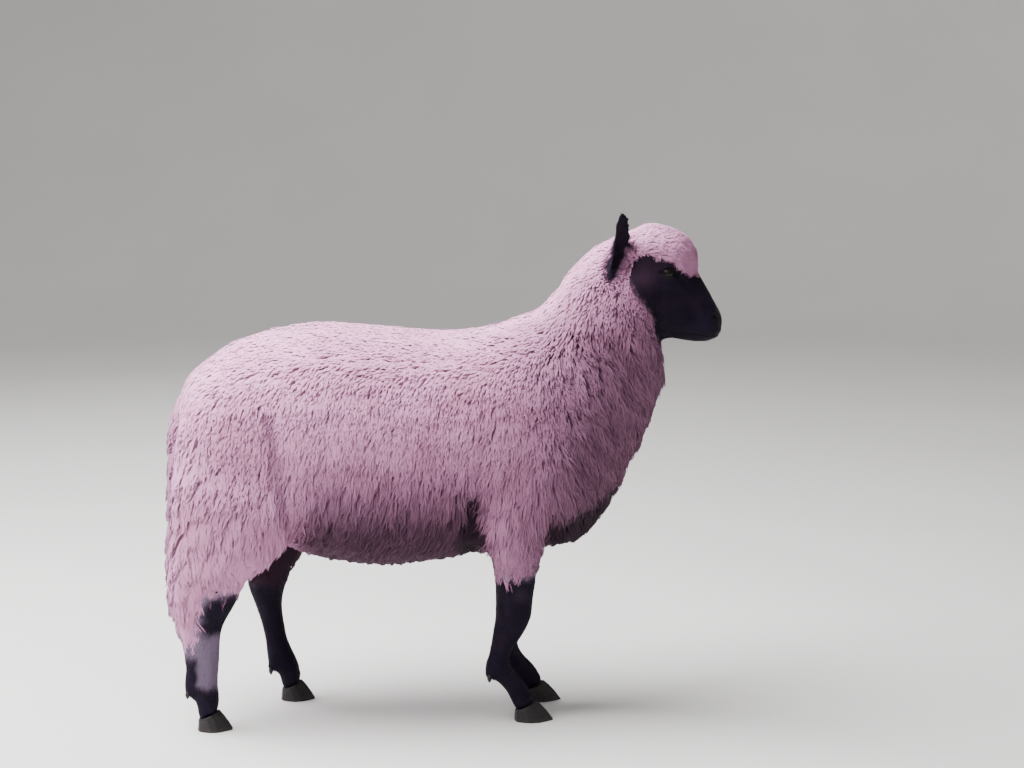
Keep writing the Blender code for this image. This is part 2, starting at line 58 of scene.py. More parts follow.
NODES = sorted(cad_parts)
FLESH = [n for n in NODES if not n.startswith("eye") and "claw" not in n]
EARS = ("ear_left", "ear_right")
LEGS = ("fore_left", "fore_right", "hind_left", "hind_right")
# The map that colours are baked through, and the width of it that one tuft takes.
BAKE_MAP = "OFBake"
TUFT_PATCH = 0.003

# Kinds of node that come often. The last is a mix of two colours, with its options and the numbers
# of its inputs.
MATHS = "ShaderNodeMath"
VECTORS = "ShaderNodeVectorMath"
PARTS_OF = "ShaderNodeSeparateXYZ"
READ = "GeometryNodeInputNamedAttribute"
STORE = "GeometryNodeStoreNamedAttribute"
ATTRIBUTE = "ShaderNodeAttribute"
RANGE = "ShaderNodeMapRange"
NOISE = "ShaderNodeTexNoise"
BUMP = "ShaderNodeBump"
COLOUR_MIX = {"kind": "ShaderNodeMix", "out": 2, "data_type": "RGBA"}
SHARE, FIRST, SECOND = 0, 6, 7

# The skin: voxel of its first surface, how far each node swells so that it meets its neighbours, and
# how far the head reaches from the point between the eyes.
SKIN_VOXEL = 0.0058
NODE_SWELL = 0.0006
EAR_SWELL = 0.0028
RELAX_ROUNDS = 6
HEAD_REACH = 0.20
# The end of the nose, in head space, and how far bare lids reach from the middle of an eye.
NOSE_END = (0.090, 0, -0.095)
LIDS_REACH = 0.0150

# Face: where dark hair gives way to wool, in head space (forward and up from between the eyes). The
# first line runs over the eye and under the forelock, the second down behind the cheek.
FACE_TOP = (
    (-0.069, 0.018),
    (-0.057, 0.034),
    (-0.038, 0.038),
    (-0.020, 0.031),
    (0.000, 0.022),
    (0.025, 0.008),
    (0.042, -0.001),
    (0.058, -0.006),
)
FACE_BACK = (
    (0.100, -0.150),
    (0.030, -0.141),
    (-0.002, -0.130),
    (-0.016, -0.117),
    (-0.021, -0.092),
    (-0.023, -0.074),
    (-0.037, -0.051),
    (-0.055, -0.034),
    (-0.066, -0.010),
    (-0.069, 0.018),
)
FACE_EDGE = 0.003

# The dark, short-haired foot of each ear: a line in head space and its half-width.
EAR_FOOT = ((-0.085, 0.060), (-0.090, 0.037), (-0.100, 0.016), (-0.103, -0.002))
EAR_FOOT_HALF = 0.015
# How far an ear's middle sinks behind its rims, and how far its outline runs outside its node before
# the depth of its hair is taken off.
EAR_CUP = 0.0065
EAR_RIM = 0.0028

# Where the wool sinks in folds (or, with a negative depth, swells), on both sides of the body: a line
# seen from the side, its half-width and its depth. The first lines are in the row frame: before the
# thigh, at the elbow, and between sleeve and brisket.
BODY_FOLDS = (
    (((-0.318, 0.600), (-0.304, 0.500), (-0.287, 0.420), (-0.262, 0.350)), 0.014, 0.0090),
    (((0.044, 0.430), (0.050, 0.370), (0.052, 0.310)), 0.015, 0.020),
    (((0.176, 0.470), (0.192, 0.400), (0.198, 0.350)), 0.011, 0.009),
)
# These are in head space: behind the cheek ruff, the ruff itself, the crown and the forelock.
HEAD_FOLDS = (
    (((-0.130, -0.035), (-0.109, -0.088), (-0.080, -0.140), (-0.056, -0.190)), 0.016, 0.011),
    (((-0.084, -0.030), (-0.058, -0.075), (-0.036, -0.125)), 0.013, -0.005),
    (((-0.055, 0.080), (-0.020, 0.092), (0.010, 0.080)), 0.022, -0.005),
    (((0.028, 0.066), (0.048, 0.045), (0.050, 0.022)), 0.016, -0.006),
)


def linear(code, alpha=True):
    """A linear colour from an sRGB hex value."""
    parts = [(code >> shift & 255) / 255 for shift in (16, 8, 0)]
    lit = [p / 12.92 if p <= 0.04045 else ((p + 0.055) / 1.055) ** 2.4 for p in parts]
    return (*lit, 1.0) if alpha else tuple(lit)


def settings():
    return bpy.context.scene.ewe


# ---------------------------------------------------------------- arrays and meshes


def between(low, high, value):
    """0 below low, 1 above high and a smooth rise from one to the other."""
    share = np.clip((value - low) / (high - low), 0, 1)
    return share * share * (3 - 2 * share)


def mix(first, second, share):
    return first + (second - first) * share


def read(collection, name, width, kind=np.float32):
    values = np.empty(len(collection) * width, kind)
    collection.foreach_get(name, values)
    return values.reshape(-1, width) if width > 1 else values


def points_of(mesh):
    return read(mesh.vertices, "co", 3).astype(float)


def normals_of(mesh):
    return read(mesh.vertices, "normal", 3).astype(float)


def edges_of(mesh):
    return read(mesh.edges, "vertices", 2, np.int32)


def set_points(mesh, points):
    mesh.vertices.foreach_set("co", points.astype(np.float32).ravel())
    mesh.update()


def unit(vectors):
    return vectors / np.maximum(np.linalg.norm(vectors, axis=-1, keepdims=True), 1e-9)


def relax(values, edges, rounds, share=0.5):
    """Values drawn towards the mean of their neighbours', round after round."""
    flat = values.reshape(len(values), -1)
    near = np.maximum(np.bincount(edges.ravel(), minlength=len(flat)), 1)[:, None]
    for _ in range(rounds):
        total = np.empty_like(flat)
        for k in range(flat.shape[1]):
            column = flat[:, k]
            total[:, k] = np.bincount(edges[:, 0], column[edges[:, 1]], len(flat))
            total[:, k] += np.bincount(edges[:, 1], column[edges[:, 0]], len(flat))
        flat = flat + share * (total / near - flat)
    return flat.reshape(values.shape)


def uneven(points, size, turn=0.0):
    """Smooth variation from -1 to 1 with bumps of about that size."""
    x, y, z = (points * (2 * math.pi / size)).T
    first = np.sin(0.83 * x + 0.47 * z + turn) * np.sin(0.61 * y - 0.79 * z + 1.7 * turn)
    second = np.sin(0.37 * x - 0.92 * y + 2.1 + turn) * np.sin(0.71 * z + 0.53 * x + 0.6)
    return 0.6 * first + 0.4 * second


def line_distance(points, line):
    """Each point's distance to a bent line."""
    found = np.full(len(points), np.inf)
    for start, end in zip(line, line[1:]):
        run = np.subtract(end, start)
        share = np.clip((points - start) @ run / (run @ run), 0, 1)[:, None]
        found = np.minimum(found, np.linalg.norm(points - start - share * run, axis=1))
    return found


def spot(values, centre, reach):
    """A soft spot: 1 at the centre, fading over the reach."""
    return np.exp(-(((values - centre) / reach) ** 2))


def store(mesh, name, values):
    """Keeps one value or vector for each vertex as an attribute."""
    wide = values.ndim > 1
    kind = "FLOAT_VECTOR" if wide else "FLOAT"
    attribute = mesh.attributes.new(name, kind, "POINT")
    attribute.data.foreach_set("vector" if wide else "value", values.astype(np.float32).ravel())


def place(name, mesh):
    obj = bpy.data.objects.new(name, mesh)
    bpy.context.scene.collection.objects.link(obj)
    return obj


def plain(obj):
    """The object's mesh with its modifiers applied."""
    bpy.context.view_layer.update()
    graph = bpy.context.evaluated_depsgraph_get()
    return bpy.data.meshes.new_from_object(obj.evaluated_get(graph))


def turned_out(shape):
    """The shape with every face turned outward."""
    shape.normal_update()
    bmesh.ops.recalc_face_normals(shape, faces=shape.faces)
    return shape


def mesh_from(shape, name):
    mesh = bpy.data.meshes.new(name)
    shape.to_mesh(mesh)
    shape.free()
    mesh.shade_smooth()
    return mesh


def united(mesh, voxel):
    """One closed surface round solids, in faces of about that size that all point outward."""
    source = place("source", mesh)
    union = source.modifiers.new("union", "REMESH")
    union.mode = "VOXEL"
    union.voxel_size = voxel
    mesh = plain(source)
    bpy.data.objects.remove(source)
    return mesh


def finish_piece(name, mesh, material, replaced=()):
    """Makes the mesh a piece of the ewe."""
    obj = place(name, mesh)
    if material is not None:
        mesh.materials.clear()
        mesh.materials.append(material)
    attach(obj, "root")
    if replaced:
        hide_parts(*replaced)
    return obj


def add(tree, kind, *values, named=None, out=0, **options):
    """Adds a node with its options and inputs, which are values or sockets, and returns its output.

    Inputs come in the node's own order, or under their names or numbers. With out None, all outputs
    are returned.
    """
    node = tree.nodes.new(kind)
    for name, value in options.items():
        setattr(node, name, value)
    for key, value in [*enumerate(values), *(named or {}).items()]:
        if isinstance(value, bpy.types.NodeSocket):
            tree.links.new(value, node.inputs[key])
        else:
            node.inputs[key].default_value = value
    return node.outputs if out is None else node.outputs[out]


# ---------------------------------------------------------------- head space


def middle(node):
    low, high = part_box(node)
    return (low + high) / 2


def head_axes():
    """The point between the eyes, and the ways forward, left and up from it."""
    left, right = middle("eye_left"), middle("eye_right")
    across = (left - right).normalized()
    ahead = across.cross(Vector((0, 0, 1)))
    return (left + right) / 2, ahead, across


def to_head(points):
    origin, ahead, across = head_axes()
    turn = np.array([ahead, across, (0, 0, 1)]).T
    return (points - np.array(origin)) @ turn


def from_head(vector):
    """A direction in head space as one in the row frame."""
    _, ahead, across = head_axes()
    return vector[0] * np.array(ahead) + vector[1] * np.array(across) + vector[2] * np.array((0, 0, 1))


def eye_axes(side):
    """An eye's centre, the way it looks and the ways along and across its lids, in head space."""
    half = (middle("eye_left") - middle("eye_right")).length / 2
    look = Vector((0.42, side, 0.06)).normalized()
    along = Vector((1.0, 0, -0.16))
    along = (along - look * along.dot(look)).normalized()
    over = along.cross(look) * -side
    return Vector((0, side * half, 0)), look, along, over if over.z > 0 else -over


# ---------------------------------------------------------------- where each coat grows


def leg_shares(points, leg):
    """How far forward each point lies in its leg at its height, from 0 behind to 1 in front."""
    parts = [n for n in FLESH if n.startswith(leg)]
    own = np.concatenate([points_of(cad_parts[n].data) for n in parts])
    heights = np.arange(0.03, 0.29, 0.01)
    back = [own[np.abs(own[:, 2] - h) < 0.02, 0].min() for h in heights]
    front = [own[np.abs(own[:, 2] - h) < 0.02, 0].max() for h in heights]
    low, high = (np.interp(points[:, 2], heights, side) for side in (back, front))
    return (points[:, 0] - low) / (high - low)


def distance_to(nodes, points):
    """Each point's distance to the nearest of these nodes."""
    found = np.full(len(points), 1.0)
    for node in nodes:
        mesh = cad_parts[node].data
        corners = points_of(mesh)
        tree = BVHTree.FromPolygons(
            [Vector(c) for c in corners], [tuple(p.vertices) for p in mesh.polygons]
        )
        low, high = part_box(node)
        close = np.all((points > np.array(low) - 0.05) & (points < np.array(high) + 0.05), axis=1)
        for k in np.flatnonzero(close):
            found[k] = min(found[k], tree.find_nearest(Vector(points[k]))[3])
    return found


class Coat:
    """What grows at each point of the skin: masks, sizes, colours and the way that hair lies."""

    def __init__(self, points):
        self.points = points
        self.head = to_head(points)
        self.reach = np.linalg.norm(self.head, axis=1)
        self.x, self.y, self.z = points.T
        self.ear = 1 - between(0.0035, 0.010, distance_to(EARS, points))
        self.tail = 1 - between(0.004, 0.016, distance_to(["tail"], points))
        self.low = 1 - between(0.29, 0.36, self.z)
        self.fore = self.x > 0
        self.left = self.y > 0
        self.mark_ear_foot()
        self.mark_face()
        self.mark_legs()
        self.mark_folds()
        self.mark_soil_and_shade()
        self.wool = np.minimum(1 - self.face, self.leg_wool) * (1 - np.maximum(self.ear, self.ear_foot))
        self.dark = np.maximum.reduce([self.face, self.leg_dark, self.ear, self.ear_foot])

    def mark_ear_foot(self):
        """The dark patch that an ear grows from, widest at the ear and narrow below."""
        _, side, up = self.head.T
        away = line_distance(self.head[:, ::2], EAR_FOOT)
        half = EAR_FOOT_HALF * mix(0.7, 1.0, between(-0.010, 0.018, up))
        away = away + 0.0015 * uneven(self.points, 0.013)
        self.ear_foot = (1 - between(-0.003, 0.002, away - half)) * (np.abs(side) > 0.030)
        self.by_ear = 1 - between(0.020, 0.036, away)

    def mark_face(self):
        ahead, _, up = self.head.T
        ragged = 0.003 * uneven(self.points, 0.021) + 0.002 * uneven(self.points, 0.009, 2.0)
        top = np.interp(ahead, *np.array(FACE_TOP).T)
        back = np.interp(up, *np.array(FACE_BACK).T[::-1])
        inside = np.minimum(ahead - back, top - up) + ragged
        self.face = between(-FACE_EDGE, FACE_EDGE, inside) * (up > -0.15) * (self.reach < HEAD_REACH)
        patch = spot(ahead, -0.034, 0.024) * spot(up, -0.004, 0.017)
        temple = spot(ahead, -0.046, 0.026) * spot(up, 0.000, 0.040)
        self.fade = np.clip(0.45 * patch + 0.40 * temple, 0, 1)

    def mark_legs(self):
        """Dark legs under woolly sleeves, but for the right hind one, which is pale in part."""
        ragged = 0.006 * uneven(self.points, 0.030) + 0.003 * uneven(self.points, 0.011, 1.0)
        height = self.z + ragged
        wool = between(0.272, 0.283, height)
        hind_wool = between(0.226, 0.244, height)
        wool = np.where(self.fore, wool, hind_wool)
        dark = 1 - between(0.268, 0.279, height)
        dark = np.where(self.fore, dark, 1 - between(0.215, 0.240, height))
        # Share is how far forward a point lies in its leg. The pale leg keeps a dark foot, heel and hock.
        share = np.zeros(len(self.z))
        low = self.z < 0.31
        for leg in LEGS:
            own = low & (self.fore == leg.startswith("fore")) & (self.left == leg.endswith("left"))
            share[own] = leg_shares(self.points[own], leg)
        share = share + 8 * ragged
        behind = (1 - between(0.42, 0.58, share)) * between(0.128, 0.148, height)
        before = between(0.30, 0.45, share) * between(0.074, 0.092, height)
        across = between(0.160, 0.175, height)
        patch = between(0.46, 0.62, share) * between(0.172, 0.188, height)
        patch = patch * (1 - between(0.246, 0.262, height))
        pale = np.maximum.reduce([behind, before, across]) * (1 - patch)
        pale_leg = ~self.fore & ~self.left & low
        dark = np.where(pale_leg, 1 - pale, dark)
        # A fringe of wool hangs down behind it, and both fore legs have a place of greyer hair.
        fringe = (1 - between(0.34, 0.52, share)) * between(0.158, 0.172, height)
        wool = np.where(pale_leg, np.maximum(fringe, between(0.248, 0.266, height)), wool)
        knee = spot(share, 0.62, 0.17) * spot(self.z, 0.246, 0.011)
        grey = between(0.5, 0.8, share) * spot(self.z, 0.095, 0.035)
        dark = np.where(self.fore & ~self.left, dark * (1 - 0.16 * knee), dark)
        dark = np.where(self.fore & self.left, dark * (1 - 0.18 * grey), dark)
        above = self.z > 0.32
        self.leg_wool = np.where(above, 1.0, wool)
        self.leg_dark = np.where(above, 0.0, dark)

    def mark_folds(self):
        """How far the surface of the wool sinks, and the folds alone."""
        side = np.abs(self.y)
        self.crease = np.zeros(len(self.z))
        for line, width, deep in BODY_FOLDS:
            away = line_distance(self.points[:, ::2], line)
            self.crease += deep * spot(away, 0, width) * between(0.02, 0.06, side)
        near = self.reach < 0.30
        for line, width, deep in HEAD_FOLDS:
            away = line_distance(self.head[near][:, ::2], line)
            self.crease[near] += deep * spot(away, 0, width)
        lumps = 0.0020 * uneven(self.points, 0.085) + 0.0012 * uneven(self.points, 0.047, 1.0)
        self.sink = self.crease + lumps * between(0.30, 0.45, self.z) * (1 - self.near_head())

    def mark_soil_and_shade(self):
        """How dark the wool is painted, from 0 to 1: painted shade low on the flank, under the belly, behind
        the elbow, in the groin, on the far hind thigh, in folds and low down all over; painted shade and
        dirt on the shoulder; and dark under the breast.
        """
        ragged = 0.012 * uneven(self.points, 0.045) + 0.006 * uneven(self.points, 0.019, 1.0)
        streaks = uneven(self.points * (1.0, 1.0, 0.3), 0.024)
        x, side, z = self.x + ragged, np.abs(self.y), self.z + ragged
        below_crest = mix(1.0, between(0.02, 0.06, side), between(0.64, 0.72, z))
        barrel = between(-0.30, -0.22, x) * (1 - between(0.05, 0.10, x))
        hindquarter = 1 - between(-0.27, -0.20, x)
        off_tail = 1 - self.tail
        shoulder = between(0.04, 0.26, x) * (1 - between(0.68, 0.94, z)) * below_crest
        under_breast = 1 - between(0.365, 0.450, z - 0.5 * np.maximum(x - 0.2, 0))
        inner_thigh = between(0.18, 0.22, z) * (1 - between(0.33, 0.40, z))
        behind_elbow = np.abs(self.x - 0.047) - (0.004 + 0.014 * between(0.48, 0.36, self.z))
        shares = (
            # Painted shade low on the flank of the barrel, in streaks.
            (0.91 + 0.09 * streaks) * barrel * (1 - between(0.38, 0.55, z)),
            0.30 * barrel * np.maximum(streaks, 0) * (1 - between(0.50, 0.64, z)),
            # Dark under the breast.
            between(0.165, 0.205, x) * under_breast,
            # Painted shade and dirt on the shoulder and the front of the chest, below the crest.
            (0.72 + 0.12 * streaks) * shoulder,
            # Painted shade on the inner side of the far hind thigh.
            off_tail * self.left * hindquarter * inner_thigh,
            # Painted shade under the belly, along its middle.
            0.60 * off_tail * (1 - between(0.02, 0.06, side)) * (1 - between(0.30, 0.42, z)),
            # Painted shade in the notch behind the elbow.
            between(0.48, 0.44, z) * (1 - between(0.0, 0.012, behind_elbow)),
            # Painted shade in the groin, before the thigh.
            0.90 * spot(self.x, -0.238, 0.030) * (1 - between(0.375, 0.430, z)),
            # Painted shade in the folds before the thigh and elsewhere on the body.
            0.50 * between(0.002, 0.010, self.crease) * between(0.5, 0.6, z),
            0.42 * between(0.001, 0.007, self.crease) * (self.x < -0.2),
        )
        # Painted shade: the whole coat is darker low down, most of all on the sleeves and the tail, a little
        # less on the hindquarter.
        sleeves = between(0.02, 0.08, self.x) * (1 - between(0.38, 0.50, self.z))
        dull = 0.32 + 0.12 * sleeves - 0.08 * hindquarter + 0.26 * self.tail
        dull = dull * (1 - between(0.46, 0.75, z))
        self.soil = mix(np.clip(np.maximum.reduce(shares), 0, 1), 1.0, dull)

    def near_head(self):
        return 1 - between(0.10, 0.19, self.reach)

    def near_nose(self):
        return 1 - between(0.03, 0.06, np.linalg.norm(self.head - NOSE_END, axis=1))

    def fineness(self):
        """How large a tuft of short hair is: 1 on the legs, and less round the eyes and on the nose."""
        near_eye = 1 - between(0.018, 0.040, np.hypot(self.head[:, 0], self.head[:, 2]))
        return np.clip(1 - 0.4 * np.maximum(near_eye * self.face, self.near_nose()), 0.4, 1)

    def wool_size(self):
        """How large the locks are, as a share of those on the flanks."""
        small = np.maximum.reduce([self.near_head(), self.low, self.tail])
        return (1 - 0.5 * small) * (1 - 0.3 * self.by_ear)

    def depth(self, fleece, hair):
        """How far the skin lies under the tips of the coat."""
        short = 0.40 * (1 - between(0.15, 0.60, self.hanging()))
        thin = np.maximum.reduce([short, 0.52 * self.near_head(), 0.66 * self.low, 0.62 * self.tail])
        under = mix(hair, fleece * (1 - thin), self.wool)
        return under + self.ear * (EAR_SWELL - NODE_SWELL)

    def hanging(self):
        """Where the wool hangs in separate locks: low flanks, thighs and chest."""
        sides = 1 - between(0.38, 0.58, self.z)
        chest = between(0.10, 0.24, self.x) * (1 - between(0.66, 0.80, self.z))
        back = between(-0.34, -0.46, self.x) * (1 - between(0.45, 0.62, self.z))
        return np.clip(np.maximum.reduce([sides, 0.8 * chest, back]), 0.15, 1)

    def lie(self, normals):
        """The way the coat lies: backward on the back, down the sides, and forward on the chest."""
        ahead, _, up = self.head.T
        over = between(0.35, 0.95, np.abs(normals[:, 2]))[:, None]
        way = mix(np.array((-0.22, 0.0, -1.0)), np.array((-1.0, 0.0, -0.25)), over)
        chest = (between(0.12, 0.26, self.x) * (1 - between(0.66, 0.78, self.z)))[:, None]
        way = mix(way, np.array((0.42, 0.0, -1.0)), chest)
        poll = between(-0.085, -0.045, ahead) * between(-0.01, 0.02, up) * (self.reach < HEAD_REACH)
        way = mix(way, from_head((1.0, 0.0, -0.50)), (poll * self.wool)[:, None])
        way = mix(way, np.array((0.0, 0.0, -1.0)), self.low[:, None])
        back_along = from_head((-0.80, 0.0, 0.10))
        way = mix(way, back_along, (self.face * (1 - self.low))[:, None])
        before_ear = self.by_ear * between(-0.100, -0.085, ahead)
        way = mix(way, from_head((0.80, 0.0, -0.60)), (before_ear * self.wool)[:, None])
        for node in EARS:
            root, tip = ear_ends(node)
            near = 1 - between(0.0035, 0.0075, distance_to([node], self.points))
            own = self.ear_foot * (self.left == node.endswith("left"))
            way = mix(way, unit(tip - root), np.maximum(near, own)[:, None])
        way = way + 0.12 * np.stack([uneven(self.points, 0.13, t) for t in (0.0, 1.3, 2.6)], -1)
        return way - normals * np.sum(way * normals, axis=1, keepdims=True)


# ---------------------------------------------------------------- skin


def ear_ends(node):
    """The root and the tip of an ear."""
    corners = points_of(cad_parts[node].data)
    root = corners[np.argmin(np.abs(to_head(corners)[:, 1]) + 0.5 * corners[:, 2])]
    return root, corners[np.argmax(np.linalg.norm(corners - root, axis=1))]


def outline(along, across, heights):
    """The middle and half-width of a leaf at each height."""
    low = np.array([across[np.abs(along - h) < 0.06].min() for h in heights])
    high = np.array([across[np.abs(along - h) < 0.06].max() for h in heights])
    return (low + high) / 2, (high - low) / 2


def leaf_of(node):
    """Points all over an ear's node, and the way its hollow faces, square to the line from root to tip."""
    root, tip = ear_ends(node)
    rise = unit(tip - root)
    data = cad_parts[node].data
    ends = points_of(data)[edges_of(data)]
    shares = np.linspace(0, 1, 12)[:, None, None]
    leaf = mix(ends[:, 0], ends[:, 1], shares).reshape(-1, 3)
    front = np.linalg.svd(leaf - leaf.mean(axis=0), full_matrices=False)[2][2]
    front = unit(front - rise * (front @ rise))
    return leaf, front * np.sign(front @ from_head((1.0, 0.0, 0.0)))


def shape_ears(coat):
    """The skin's points with each ear spread to its node's outline and bent into a cup open in front."""
    points = coat.points.copy()
    heights = np.linspace(0.15, 1.0, 14)
    for node in EARS:
        root, tip = ear_ends(node)
        length = np.linalg.norm(tip - root)
        rise = (tip - root) / length
        leaf, front = leaf_of(node)
        across = np.cross(front, rise)
        own = np.flatnonzero((coat.ear > 0.5) & (coat.left == node.endswith("left")))
        high = (points[own] - root) @ rise / length
        wide = (points[own] - root) @ across
        top = high.max()
        wanted = outline((leaf - root) @ rise / length, (leaf - root) @ across, heights)
        present = outline(high / top, wide, heights)
        middle_now, half_now = (np.interp(high / top, heights, line) for line in present)
        middle_then, half_then = (np.interp(high / top, heights, line) for line in wanted)
        half_then = half_then * (1 + 0.8 * between(0.62, 0.98, high / top))
        place_across = np.clip((wide - middle_now) / half_now, -1, 1)
        free = between(0.20, 0.45, high / top)
        spread = middle_then + place_across * (half_then + EAR_RIM) - wide
        lift = (high / top - high) * length + EAR_RIM * between(0.5, 1.0, high)
        cup = EAR_CUP * (place_across**2 - 0.6) * free * (1 - 0.6 * between(0.75, 1.0, high))
        moved = across * (spread * free)[:, None] + rise * (lift * free)[:, None] + front * cup[:, None]
        points[own] += moved
    return points


def joined_flesh():
    """The flesh nodes swollen into each other, with the eye sockets filled, as one mesh."""
    joined = bmesh.new()
    for node in FLESH:
        shape = bmesh.new()
        shape.from_mesh(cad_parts[node].data)
        bmesh.ops.remove_doubles(shape, verts=shape.verts, dist=1e-5)
        shape.normal_update()
        swell = EAR_SWELL if node in EARS else NODE_SWELL
        for vertex in shape.verts:
            vertex.co += vertex.normal * swell
        part = bpy.data.meshes.new("part")
        shape.to_mesh(part)
        shape.free()
        joined.from_mesh(part)
        bpy.data.meshes.remove(part)
    for node in ("eye_left", "eye_right"):
        low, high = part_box(node)
        bmesh.ops.create_icosphere(
            joined,
            subdivisions=3,
            radius=(high.z - low.z) / 2 + NODE_SWELL,
            matrix=Matrix.Translation(middle(node)),
        )
    return mesh_from(turned_out(joined), "flesh")


def split_faces(mesh, wanted):
    """Splits each wanted face in four."""
    shape = bmesh.new()
    shape.from_mesh(mesh)
    shape.faces.ensure_lookup_table()
    edges = {e for k in np.flatnonzero(wanted) for e in shape.faces[k].edges}
    bmesh.ops.subdivide_edges(shape, edges=list(edges), cuts=1, use_grid_fill=True)
    odd = [f for f in shape.faces if len(f.verts) > 4]
    bmesh.ops.triangulate(shape, faces=odd)
    shape.to_mesh(mesh)
    shape.free()


def face_middles(mesh):
    return read(mesh.polygons, "center", 3).astype(float)


def first_skin():
    """One closed surface over all the flesh, with finer faces on the face and ears."""
    mesh = united(joined_flesh(), SKIN_VOXEL)
    set_points(mesh, relax(points_of(mesh), edges_of(mesh), RELAX_ROUNDS))
    for detail in (1, 2):
        centres = face_middles(mesh)
        ahead, side, up = to_head(centres).T
        face = (ahead > -0.075) & (up < 0.045) & (up > -0.15) & (np.hypot(ahead, up) < 0.18)
        if detail == 1:
            ears = distance_to(EARS, centres) < 0.008
            wanted = face | ears
        else:
            eyes = np.hypot(ahead - 0.004, up + 0.004) < 0.036
            muzzle = (ahead > 0.028) & (up < -0.050)
            wanted = face & (eyes & (np.abs(side) > 0.02) | muzzle)
        split_faces(mesh, wanted)
        points = points_of(mesh)
        share = (0.5 * (np.linalg.norm(to_head(points), axis=1) < HEAD_REACH))[:, None]
        set_points(mesh, relax(points, edges_of(mesh), 4, share))
    return mesh


# ---------------------------------------------------------------- the face


# Places looked at along each stretch of a line on the face, and more than any distance there.
LINE_STEPS = 14
FAR = 9.0


def near_line(points, line, width, surface):
    """How near each point is to a bent line laid on the surface: 1 on it, fading over the width."""
    found = np.full(len(points), FAR)
    for start, end in zip(line, line[1:]):
        for share in np.linspace(0, 1, LINE_STEPS):
            laid = surface.find_nearest(Vector(start).lerp(Vector(end), share))[0]
            found = np.minimum(found, np.linalg.norm(points - np.array(laid), axis=1))
    return np.exp(-((found / width) ** 2))


# Raised and sunken forms of the face, in head space and millimetres out of the skin: a line of
# points, its half-width and its height. Each is repeated on the other side of the head.
FACE_FORMS = [
    ("brow", ((-0.022, 0.046, 0.014), (0.002, 0.045, 0.020), (0.022, 0.038, 0.012)), 0.0060, 1.8),
    ("cheekbone", ((-0.020, 0.055, -0.020), (0.018, 0.052, -0.026), (0.048, 0.040, -0.040)), 0.0060, 2.0),
    ("tear_pit", ((0.023, 0.044, -0.011), (0.034, 0.040, -0.022)), 0.0042, -2.6),
    ("cheek_hollow", ((0.035, 0.036, -0.060), (0.052, 0.034, -0.082)), 0.0100, -2.2),
    ("jaw_muscle", ((-0.012, 0.055, -0.052), (-0.004, 0.052, -0.076)), 0.0170, 2.4),
    ("jaw_edge", ((-0.010, 0.030, -0.112), (0.030, 0.024, -0.124)), 0.0060, 1.2),
    ("nose_bone", ((0.040, 0.008, 0.004), (0.075, 0.010, -0.045)), 0.0060, 0.9),
    ("nostril_wing", ((0.079, 0.027, -0.071), (0.092, 0.020, -0.078), (0.097, 0.012, -0.092)), 0.0042, 1.5),
    ("nostril", ((0.083, 0.026, -0.080), (0.092, 0.021, -0.085), (0.097, 0.013, -0.096)), 0.0026, -5.2),
    ("lip_groove", ((0.103, 0.0, -0.092), (0.104, 0.0, -0.108)), 0.0016, -1.8),
    ("upper_lip", ((0.040, 0.032, -0.103), (0.075, 0.027, -0.105), (0.095, 0.014, -0.107)), 0.0050, 1.3),
    ("mouth", ((0.030, 0.033, -0.108), (0.060, 0.032, -0.114), (0.085, 0.022, -0.116)), 0.0019, -2.6),
    ("mouth_front", ((0.085, 0.022, -0.116), (0.096, 0.012, -0.115), (0.100, 0.0, -0.114)), 0.0019, -2.6),
    ("chin", ((0.070, 0.012, -0.126), (0.088, 0.006, -0.122)), 0.0060, 1.0),
]

# Lids: the half-length of the opening and how far its upper and lower edges rise, in degrees round
# the eyeball, the thickness of the lids, and how far the skin lies inside the ball in the opening.
LID_HALF_LENGTH = 58.0
LID_TOP = 30.0
LID_BOTTOM = 22.0
LID_THICKNESS = 0.0019
BEHIND_EYE = 0.0030
# The fold over the upper lid: its depth, and in degrees how far it lies above the edge of the lid, its
# half-width and how far it runs to either side.
FOLD_DEPTH = 0.0011
FOLD_ABOVE = 17
FOLD_WIDTH = 4.5
FOLD_REACH = 46


def lid_edges(along):
    """The lids' upper and lower edges at an angle along the opening, all in degrees."""
    open_share = np.clip(1 - (along / LID_HALF_LENGTH) ** 2, 0, 1)
    return LID_TOP * open_share**0.8, -LID_BOTTOM * open_share**0.9


def shape_lids(head, side, radius):
    """Wraps the skin round an eye: thin lids, an almond opening, and a fold above the upper lid."""
    centre, look, along, over = (np.array(v) for v in eye_axes(side))
    offset = head - centre
    distance = np.linalg.norm(offset, axis=1)
    out = offset @ look
    turn_along = np.degrees(np.arctan2(offset @ along, np.maximum(out, 1e-5)))
    turn_over = np.degrees(np.arctan2(offset @ over, np.maximum(out, 1e-5)))
    top, bottom = lid_edges(turn_along)
    outside = np.maximum(turn_over - top, bottom - turn_over)
    past = np.abs(turn_along) - LID_HALF_LENGTH
    outside = np.where(past > 0, np.hypot(np.maximum(outside, 0), past), outside)
    lid = radius + LID_THICKNESS * between(-1.0, 5.0, outside)
    lid = np.where(outside < 0, radius - BEHIND_EYE, lid)
    fold = FOLD_DEPTH * spot(turn_over - top, FOLD_ABOVE, FOLD_WIDTH) * (np.abs(turn_along) < FOLD_REACH)
    target = mix(lid - fold, distance, between(14, 38, outside))
    near = (out > 0.35 * distance) & (distance < radius + 0.016)
    wanted = np.where(near, target, distance)
    return centre + offset * (wanted / np.maximum(distance, 1e-6))[:, None]


